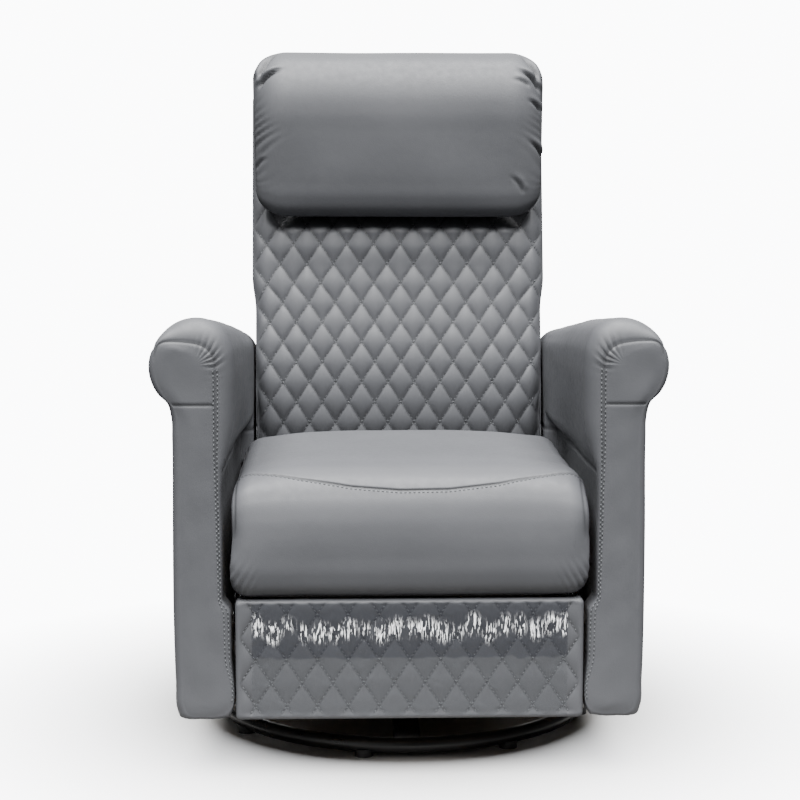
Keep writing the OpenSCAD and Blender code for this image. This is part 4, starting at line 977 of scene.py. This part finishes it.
# Pleats of the pillow: its left side as -1 or right side as 1, then where each starts and ends, in
# millimetres inwards from that side and up the back, and how deep it is
PILLOW_PLEATS = [
    (-1, (12, 695), (42, 745), 8), (-1, (10, 680), (54, 711), 9), (1, (12, 691), (40, 740), 8),
    (1, (8, 674), (46, 711), 9), (1, (26, 680), (57, 691), 3), (1, (6, 640), (31, 657), 4),
    (1, (2, 564), (28, 588), 4), (1, (36, 502), (60, 530), 3), (-1, (4, 546), (26, 561), 3),
]


def pleat(across, along, start, end):
    """One pleat on a plane: its line bows 12 % of its length towards the top, its cut is a bell across the
    line that tapers to both ends, and its lip is a wider bell that stands beside the cut, above it."""
    way = end - start
    length = np.hypot(*way)
    way = way / length
    t = ((across - start[0]) * way[0] + (along - start[1]) * way[1]) / length
    off = (along - start[1]) * way[0] - (across - start[0]) * way[1]
    off = off - 0.12 * length * 4 * np.clip(t, 0, 1) * (1 - np.clip(t, 0, 1))
    taper = smooth(t, -0.05, 0.2) * (1 - smooth(t, 0.45, 1.1))
    return bell(off, 3 * MM) * taper, 0.5 * bell(off - 7 * MM, 5 * MM) * taper


def pillow_padding():
    """The head pillow blown up; gathers of 17 mm run in from both sides as waves round the ring that die
    out across 20 mm, and pleats fold in from the sides, each with a lip of leather beside it."""
    p = pillow_grid()
    # Held where it lies on the back, behind its face
    p = plumped(p, p[..., 1] > -90 * MM, 5 * MM, 20, "flat")
    n = outward_normals(p)
    x, d, h = p[..., 0], p[..., 1], p[..., 2]
    middle = p[len(p) // 2]
    ring = walked_along(middle)[None, :]
    total = ring[0, -1]
    inward = PILLOW_HALF - np.abs(x)
    free = smooth(-d, 78 * MM, 96 * MM)
    bent = ring + 9 * MM * ripple(ring / total, (3, 5, 9), 31) + 5 * MM * np.sign(x) + 0.55 * inward
    wave = 0.5 + 0.5 * np.sin(2 * np.pi * bent / (17 * MM))
    length = 20 * MM * np.clip(1 + 0.6 * ripple(ring / total, (4, 7, 11), 37), 0.3, 2)
    where = np.where(x < 0, bell(h - 592 * MM, 50 * MM), 0.4 * bell(h - 590 * MM, 60 * MM))
    fold = (1 - wave**0.5) * bell(inward - 8 * MM, length) * free * where
    height = -2.6 * MM * fold * smooth(inward, 0, 9 * MM)
    pleats = 0
    for side, start, end, depth in PILLOW_PLEATS:
        cut, lip = pleat(inward, h, MM * np.array(start), MM * np.array(end))
        shown = free * (np.sign(x) == side)
        pleats = np.maximum(pleats, cut * shown * min(1, depth / 6))
        height = height + (lip - cut) * shown * depth * MM
    height = height + 0.4 * MM * free * rumple(x, ring + 0 * x, 0.2, 41)
    # Painted shade: dark in the pleats' cuts and a little in the gathers' valleys
    crease = np.maximum(0.3 * fold, pleats)
    return p + n * height[..., None], crease


# The back cushion as a block in the back's own frame: half its width, its depths and its heights
BACK_HALF = 247 * MM
BACK_FRONT, BACK_REAR = -76 * MM, 58 * MM
BACK_LOW, BACK_TOP = 5 * MM, 700 * MM
# The place of one crossing of its quilting, and how much its sides stand out above the arms
QUILT_MIDDLE, QUILT_PHASE = 3 * MM, 15 * MM
FLARE = 6 * MM


def flared(h):
    """How much wider the back stands above the arms: none below 310 mm along it, all above 370 mm."""
    return FLARE * smooth(h, 310 * MM, 370 * MM)


def back_face(x, h):
    """How deep the back cushion's face lies at x and height h, and how much painted shade its seams get by
    how near a seam is: it bows away at the sides as the sixth power, swells a little at the small of the
    back, rolls under towards the seat as the square of the way down, dips under the pillow, and the
    quilt's diamonds stand out from it."""
    s = sizes()
    u = x / BACK_HALF
    base = BACK_FRONT + 10 * MM * u**6 - 3 * MM * bell(h - 180 * MM, 130 * MM) * (1 - u**2)
    base = base + 22 * MM * np.clip((270 * MM - h) / (145 * MM), 0, 1.3) ** 2
    under_pillow = smooth(h, 440 * MM, 486 * MM) * (1 - smooth(np.abs(x), 195 * MM, 225 * MM))
    base = base - 5 * MM * smooth(h, 380 * MM, 420 * MM) * (1 - u**4) + 26 * MM * under_pillow
    swell, near = diamonds(x, h, QUILT_MIDDLE, QUILT_PHASE)
    inside = smooth(BACK_HALF - np.abs(x), 1 * MM, 9 * MM) * smooth(h, 12 * MM, 34 * MM)
    plump = s.quilt_depth * (1 + 0.12 * rumple(x, h, 0.08, 51))
    depth = base + (1 - swell) * plump * inside - 1.5 * MM * swell * inside
    return depth, near * inside


def back_line(x, h):
    """Points and normals of a line of stitching on the back cushion's face, in the chair's frame."""
    depth, _ = back_face(x, h)
    line = np.column_stack([x * (1 + flared(h) / BACK_HALF), depth - 0.3 * MM, h])
    normal = np.tile([0.0, -1.0, 0.0], (len(x), 1))
    return on_back(line), back_way(normal)


def between_ends(h, low, high):
    """1 at heights between low and high, fading in over 16 mm at both."""
    return smooth(h, low, low + 16 * MM) * (1 - smooth(h, high - 16 * MM, high))


# Operators


class RECLINER_OT_arms(bpy.types.Operator):
    """Makes both padded arm covers with their facings, seams and stitching"""

    bl_idname = "recliner.arms"
    bl_label = "Arm covers"

    def execute(self, context):
        hide, thread = grey_leather(), sewing_thread()
        for name, side in (("arm_cover_right", 1), ("arm_cover_left", -1)):
            cover, sewn = arm_piece(name + "_dressed", side)
            dress(cover, "rocker", hide, (name,))
            dress(sewn, "rocker", thread)
        return {"FINISHED"}


class RECLINER_OT_seat(bpy.types.Operator):
    """Makes the seat cushion with the curved seam of its front panel"""

    bl_idname = "recliner.seat"
    bl_label = "Seat cushion"

    def execute(self, context):
        p, crease, lines = seat_padding()
        cushion = closed_form("seat_cushion_dressed", p, crease)
        dress(cushion, "seat", grey_leather(), ("seat_cushion",))
        dress(stitches("seat_stitching", lines), "seat", sewing_thread())
        return {"FINISHED"}


class RECLINER_OT_back(bpy.types.Operator):
    """Makes the quilted back cushion with its gussets and stitching"""

    bl_idname = "recliner.back"
    bl_label = "Quilted back"

    def execute(self, context):
        p = block_grid(BACK_HALF, BACK_FRONT, BACK_REAR, BACK_LOW, BACK_TOP, 22 * MM, 20 * MM, 220, 240)
        depth, near = back_face(p[..., 0], p[..., 2])
        shown = smooth(-p[..., 1], 44 * MM, 70 * MM) * between_ends(p[..., 2], BACK_LOW, BACK_TOP)
        p[..., 1] += (depth - BACK_FRONT) * shown
        # The welt along each side edge of the face
        rim = bell(p[..., 1] + 42 * MM, 4 * MM) * smooth(np.abs(p[..., 0]), 236 * MM, 244 * MM)
        p[..., 0] *= 1 + (flared(p[..., 2]) - 2.2 * MM * rim) / BACK_HALF
        # Painted shade along the quilt's lines and the side welts
        crease = np.maximum(near * shown, 0.8 * rim)
        cushion = closed_form("back_cushion_dressed", on_back(p), crease)
        dress(cushion, "back", grey_leather(), ("back_cushion",))
        low, high = (-BACK_HALF + 14 * MM, 30 * MM), (BACK_HALF - 14 * MM, 500 * MM)
        sewn = stitches("back_stitching", quilt_lines(back_line, low, high, QUILT_MIDDLE, QUILT_PHASE))
        dress(sewn, "back", sewing_thread())
        return {"FINISHED"}


class RECLINER_OT_pillow(bpy.types.Operator):
    """Makes the gathered head pillow over the back's top"""

    bl_idname = "recliner.pillow"
    bl_label = "Head pillow"

    def execute(self, context):
        p, crease = pillow_padding()
        pillow = closed_form("head_pillow_dressed", on_back(p), crease, ends="flat")
        dress(pillow, "back", grey_leather(), ("head_pillow",))
        return {"FINISHED"}


def tray_grid(half, front, rear, low, high, wall):
    """The outside back as a tray open to the front: rings about its middle run out over the inner face,
    up the inner wall, round the lip and back over the outer wall, its round of 9 mm and the rear face."""
    round_edge = 9 * MM
    turn = np.linspace(0, 2 * np.pi, 240, endpoint=False) + np.pi / 240
    centre = np.array([0, (low + high) / 2])
    reach = np.array([half, (high - low) / 2])

    def loop(inset):
        """A rectangle with round corners, drawn in by inset: a superellipse of power 36."""
        r = reach - inset
        c, s = np.cos(turn), np.sin(turn)
        scale = (np.abs(c) ** 36 + np.abs(s) ** 36) ** (-1 / 36)
        return centre + r * np.column_stack([c, s]) * scale[:, None]

    rows = []
    inner = MM * np.array([230, 180, 120, 60, 25, 12, 6])
    outer = MM * np.array([12, 15, 17, 19, 22, 26, 32, 40, 50, 62, 76, 92, 110, 130, 152, 176, 200, 230])
    turns = np.linspace(0, np.pi / 2, 9)
    for inset, depth in (
        *((d, rear - wall) for d in inner),
        *((wall, d) for d in np.linspace(rear - 2 * wall, front + 1.5 * MM, 12)),
        (wall * 0.7, front),
        (wall * 0.3, front),
        (0, front + 1.5 * MM),
        *((0.0, d) for d in np.linspace(front + 4 * MM, rear - round_edge, 16)[:-1]),
        *((round_edge * (1 - np.cos(a)), rear - round_edge * (1 - np.sin(a))) for a in turns),
        *((d, rear) for d in outer),
    ):
        q = loop(inset)
        rows.append(np.column_stack([q[:, 0], np.full(len(q), depth), q[:, 1]]))
    return np.stack(rows)


class RECLINER_OT_outside_back(bpy.types.Operator):
    """Makes the outside back panel and the apron below it"""

    bl_idname = "recliner.outside_back"
    bl_label = "Outside back and apron"

    def execute(self, context):
        hide = grey_leather()
        low, high = -22 * MM, 700 * MM
        front, rear = 40 * MM, 102 * MM
        p = tray_grid(BACK_HALF + 1.5 * MM, front, rear, low, high, 1.2 * MM)
        x, d, h = p[..., 0], p[..., 1], p[..., 2]
        outer = d > rear - 0.5 * MM
        sides = BACK_HALF - np.abs(x)
        swell = smooth(sides, 0, 60 * MM) * smooth(h - low, 0, 60 * MM) * smooth(high - h, 0, 60 * MM)
        edge = np.minimum(sides, np.minimum(h - low, high - h))
        seam = bell(edge - 17 * MM, 2.2 * MM) * outer
        d = d + outer * swell * (1.2 * MM * rumple(x, h, 0.2, 61) + 2 * MM) - 2.6 * MM * seam
        p = np.stack([x * (1 + flared(h) / BACK_HALF), d, h], axis=-1)
        # The seam is pressed in and darkened with painted shade
        panel = closed_form("back_panel_dressed", on_back(p), seam)
        dress(panel, "back", hide, ("back_panel",))
        (_, front, low), (half, rear, high) = APRON_LOW, APRON_HIGH
        q = block_grid(half, front, rear, low, high, 6 * MM, 5 * MM, 120, 60)
        n = outward_normals(q)
        seam = bell(q[..., 2] - high + 16 * MM, 2 * MM)
        q = q + n * (0.7 * MM * rumple(q[..., 0], q[..., 2], 0.12, 67) - 1.6 * MM * seam)[..., None]
        # Its seam is pressed in and darkened with painted shade
        apron = closed_form("rear_apron_dressed", q, seam)
        dress(apron, "rocker", hide, ("rear_apron",))
        return {"FINISHED"}


PAD_FRONT, PAD_REAR = PAD_LOW[1], PAD_HIGH[1]
PAD_MIDDLE = (PAD_LOW[2] + PAD_HIGH[2]) / 2
# How far inside the pad's edge its quilting is sewn
PAD_BORDER = 10 * MM


def pad_face(x, h):
    """How far the legrest pad's face lies behind its crowns at x and height h, and how much painted shade
    its seams get by how near a seam is: the quilt, which fades at the edges."""
    s = sizes()
    swell, near = diamonds(x, h, 0.0, PAD_MIDDLE)
    inside = smooth(PAD_HIGH[0] - np.abs(x), 4 * MM, 12 * MM)
    inside = inside * smooth(h - PAD_LOW[2], 4 * MM, 12 * MM) * smooth(PAD_HIGH[2] - h, 2 * MM, 9 * MM)
    depth = (1 - swell) * 0.8 * s.quilt_depth * inside
    return depth, near * inside


def pad_line(x, h):
    """Points and normals of a line of stitching on the legrest pad's face."""
    depth, _ = pad_face(x, h)
    return np.column_stack([x, PAD_FRONT + depth - 0.3 * MM, h]), np.tile([0.0, -1.0, 0.0], (len(x), 1))


class RECLINER_OT_legrest(bpy.types.Operator):
    """Makes the quilted legrest pad and the clear wrap stretched over it"""

    bl_idname = "recliner.legrest"
    bl_label = "Legrest pad and wrap"

    def execute(self, context):
        low, high = PAD_LOW, PAD_HIGH
        p = block_grid(high[0], PAD_FRONT, PAD_REAR, low[2], high[2], 7 * MM, 8 * MM, 230, 74)
        shown = smooth(PAD_FRONT + 10 * MM - p[..., 1], 0, 9 * MM)
        depth, near = pad_face(p[..., 0], p[..., 2])
        p[..., 1] += depth * shown
        # The quilt's lines carry painted shade
        pad = closed_form("footrest_pad_dressed", p, near * shown)
        dress(pad, "footrest", grey_leather(), ("footrest_pad",))
        start = (-high[0] + PAD_BORDER, low[2] + PAD_BORDER)
        end = (high[0] - PAD_BORDER, high[2] - PAD_BORDER)
        lines = quilt_lines(pad_line, start, end, 0.0, PAD_MIDDLE)
        dress(stitches("footrest_stitching", lines), "footrest", sewing_thread())
        self.wrap()
        return {"FINISHED"}

    def wrap(self):
        """Clear film as a sheet that bridges from crown to crown of the quilt, rumpled along its width. It
            carries a painted reflection as a band over its upper part, and painted highlights in clusters over
            the hollows near its top edge."""
        low, high = corners("footrest_film")
        x, h = np.meshgrid(np.linspace(low[0], high[0], 420), np.linspace(low[2], high[2], 150))
        slack = 0.5 * MM * rumple(0.5 * x, h, 0.03, 71) + 0.35 * MM * rumple(x, 2 * h, 0.02, 73)
        r = np.random.default_rng(79)
        # One cluster of painted highlights to each half of a diamond
        places = np.arange(low[0] + 8 * MM, high[0], 22.5 * MM)
        tall = high[2] - 37 * MM + r.uniform(-7, 7, len(places)) * MM
        wide = r.uniform(7, 12, len(places)) * MM
        strong = r.uniform(0.4, 1.0, len(places))
        clusters = zip(places, tall, wide, strong)
        glint = sum(k * bell(x - a, w) * bell(h - b, 15 * MM) for a, b, w, k in clusters)
        y = PAD_FRONT - 1.5 * MM - np.clip(slack + 0.3 * MM, 0, None)
        grid = np.stack([x, y, h], axis=-1).reshape(-1, 3)
        # The painted reflection band: above the pad's middle, with a wavy lower edge
        edge = h + 1.5 * MM * rumple(x, h, 0.03, 75)
        haze = smooth(edge, PAD_MIDDLE + 2 * MM, PAD_MIDDLE + 5 * MM)
        faces = grid_faces(*x.shape, False)
        wrap = add_mesh("footrest_film_dressed", grid, faces, haze=haze, glint=np.clip(glint, 0, 1))
        dress(wrap, "footrest", film_plastic(), ("footrest_film",))


class RECLINER_OT_hard_parts(bpy.types.Operator):
    """Gives every steel, timber and plastic part that shows as it is its own finish"""

    bl_idname = "recliner.hard_parts"
    bl_label = "Steel, timber and plastic"

    def execute(self, context):
        black, bright, wire, wood = powder_coat(), zinc_plate(), spring_wire(), softwood()
        abs_black = moulded_plastic("Black ABS", "161617", "1f1f20")
        nylon = moulded_plastic("Natural nylon", "cfc8ae", "ddd7c2")
        webbing = woven_webbing()
        made = {
            "black_steel": black, "zinc_steel": bright, "spring_steel": wire, "timber": wood,
            "black_plastic": abs_black, "cage_plastic": nylon, "webbing": webbing,
            "upholstery": grey_leather(), "clear_film": film_plastic(),
        }
        for row in frame["record"]["subparts"]:
            node = frame["nodes"][row["node"]]
            node.data.materials.clear()
            node.data.materials.append(made[row["material_slot"]])
        return {"FINISHED"}


# Distances from the swivel axis in metres between which the floor fades into the bright air
FLOOR_FADE = (0.32, 0.95)
# The camera, fitted to the photograph: how far ahead of the swivel axis it stands and how high, in
# metres, its turn to the left and its tilt down, its focal length and its shift to the left in pixels
CAMERA_AHEAD, CAMERA_HEIGHT = 3.021, 0.846
CAMERA_TURN, CAMERA_TILT = math.radians(-1.8), math.radians(6.3)
PHOTO_WIDTH, PHOTO_FOCUS, PHOTO_SHIFT = 800, 1843, -1.6
# The floor's rings, and the points on each
FLOOR_RINGS, FLOOR_POINTS = 12, 64


class RECLINER_OT_stage(bpy.types.Operator):
    """Makes the pale floor, the soft studio lights and the camera"""

    bl_idname = "recliner.stage"
    bl_label = "Studio"

    def execute(self, context):
        scene = context.scene
        self.floor()
        for name, place, turn, power in (
            ("Overhead softbox", (0.0, -1.2, 3.0), (math.radians(19), 0.0, 0.0), 19.0),
            ("Rear fill", (0.0, 3.0, 2.5), (math.radians(-55), 0.0, 0.0), 1.2),
            ("Left fill", (-3.0, -2.0, 2.0), (math.radians(40), math.radians(-48), 0.0), 0.4),
        ):
            lamp = bpy.data.lights.new(name, "SUN")
            lamp.energy, lamp.angle = power, math.radians(60)
            holder = bpy.data.objects.new(name, lamp)
            holder.location, holder.rotation_euler = place, turn
            scene.collection.objects.link(holder)
        world = bpy.data.worlds.new("Studio air")
        world.use_nodes = True
        tree = world.node_tree
        seen = add(tree, "LightPath").outputs["Is Camera Ray"]
        bright = add(tree, "MapRange", Value=seen, To_Min=0.06, To_Max=12.0)
        feed(tree, tree.nodes["Background"], Color=linear("f6f7f9"), Strength=bright)
        scene.world = world
        self.camera(scene)
        return {"FINISHED"}

    def floor(self):
        """A pale level floor: a disc of rings round the chair that fades into the bright air further out."""
        rings, points = FLOOR_RINGS, FLOOR_POINTS
        turn = np.linspace(0, 2 * np.pi, points, endpoint=False)
        circle = np.column_stack([np.cos(turn), np.sin(turn), np.zeros(points)])
        verts = np.vstack([*(r * circle for r in np.linspace(0.2, FLOOR_FADE[1], rings)), [[0.0, 0.0, 0.0]]])
        step = np.arange(points)
        middle = np.column_stack([np.full(points, rings * points), step, (step + 1) % points])
        disc = add_mesh("studio_floor", verts, [*grid_faces(rings, points, True)[:, ::-1], *middle])
        made, tree, surface, place = finish_named("Painted studio floor", Roughness=0.65)
        # Roller stipple of 3 mm in matt emulsion
        stipple = add(tree, "TexNoise", Vector=place, Scale=1 / (3 * MM))
        shades = {"stops": ((0.3, colours().floor), (0.7, "949391"))}
        tone = add(tree, "ValToRGB", shades, Fac=stipple)
        away = add(tree, "VectorMath", {"operation": "LENGTH"}, i0=place)
        near, far = FLOOR_FADE
        shown = add(tree, "MapRange", Value=away, From_Min=near, From_Max=far, To_Min=1, To_Max=0)
        feed(tree, surface, Base_Color=tone, Alpha=shown)
        disc.data.materials.append(made)
        return disc

    def camera(self, scene):
        """The photograph's view, on a sensor 36 mm wide."""
        lens = bpy.data.cameras.new("Camera")
        lens.sensor_width, lens.lens = 36.0, 36.0 * PHOTO_FOCUS / PHOTO_WIDTH
        lens.shift_x = PHOTO_SHIFT / PHOTO_WIDTH
        eye = bpy.data.objects.new("Camera", lens)
        turn = CAMERA_TURN
        eye.location = (math.sin(turn) * CAMERA_AHEAD, -math.cos(turn) * CAMERA_AHEAD, CAMERA_HEIGHT)
        eye.rotation_euler = (math.radians(90) - CAMERA_TILT, 0, turn)
        scene.collection.objects.link(eye)
        scene.camera = eye


class RECLINER_PT_panel(bpy.types.Panel):
    """The recliner's pieces, sizes and colours"""

    bl_idname = "RECLINER_PT_panel"
    bl_label = "Swivel rocker recliner"
    bl_space_type = "VIEW_3D"
    bl_region_type = "UI"
    bl_category = "Recliner"

    def draw(self, context):
        for group in (context.scene.recliner_sizes, context.scene.recliner_colours):
            for key in type(group).__annotations__:
                self.layout.prop(group, key)
        for step in STEPS:
            self.layout.operator(step.bl_idname)


STEPS = (
    RECLINER_OT_stage,
    RECLINER_OT_hard_parts,
    RECLINER_OT_arms,
    RECLINER_OT_seat,
    RECLINER_OT_back,
    RECLINER_OT_pillow,
    RECLINER_OT_outside_back,
    RECLINER_OT_legrest,
)
CLASSES = (ReclinerSizes, ReclinerColours, *STEPS, RECLINER_PT_panel)


def register():
    for made in CLASSES:
        bpy.utils.register_class(made)
    bpy.types.Scene.recliner_sizes = bpy.props.PointerProperty(type=ReclinerSizes)
    bpy.types.Scene.recliner_colours = bpy.props.PointerProperty(type=ReclinerColours)


def unregister():
    del bpy.types.Scene.recliner_sizes
    del bpy.types.Scene.recliner_colours
    for made in reversed(CLASSES):
        bpy.utils.unregister_class(made)


def main():
    register()
    bpy.ops.recliner.stage()
    bpy.ops.recliner.hard_parts()
    bpy.ops.recliner.arms()
    bpy.ops.recliner.seat()
    bpy.ops.recliner.back()
    bpy.ops.recliner.pillow()
    bpy.ops.recliner.outside_back()
    bpy.ops.recliner.legrest()


if __name__ == "__main__":
    main()
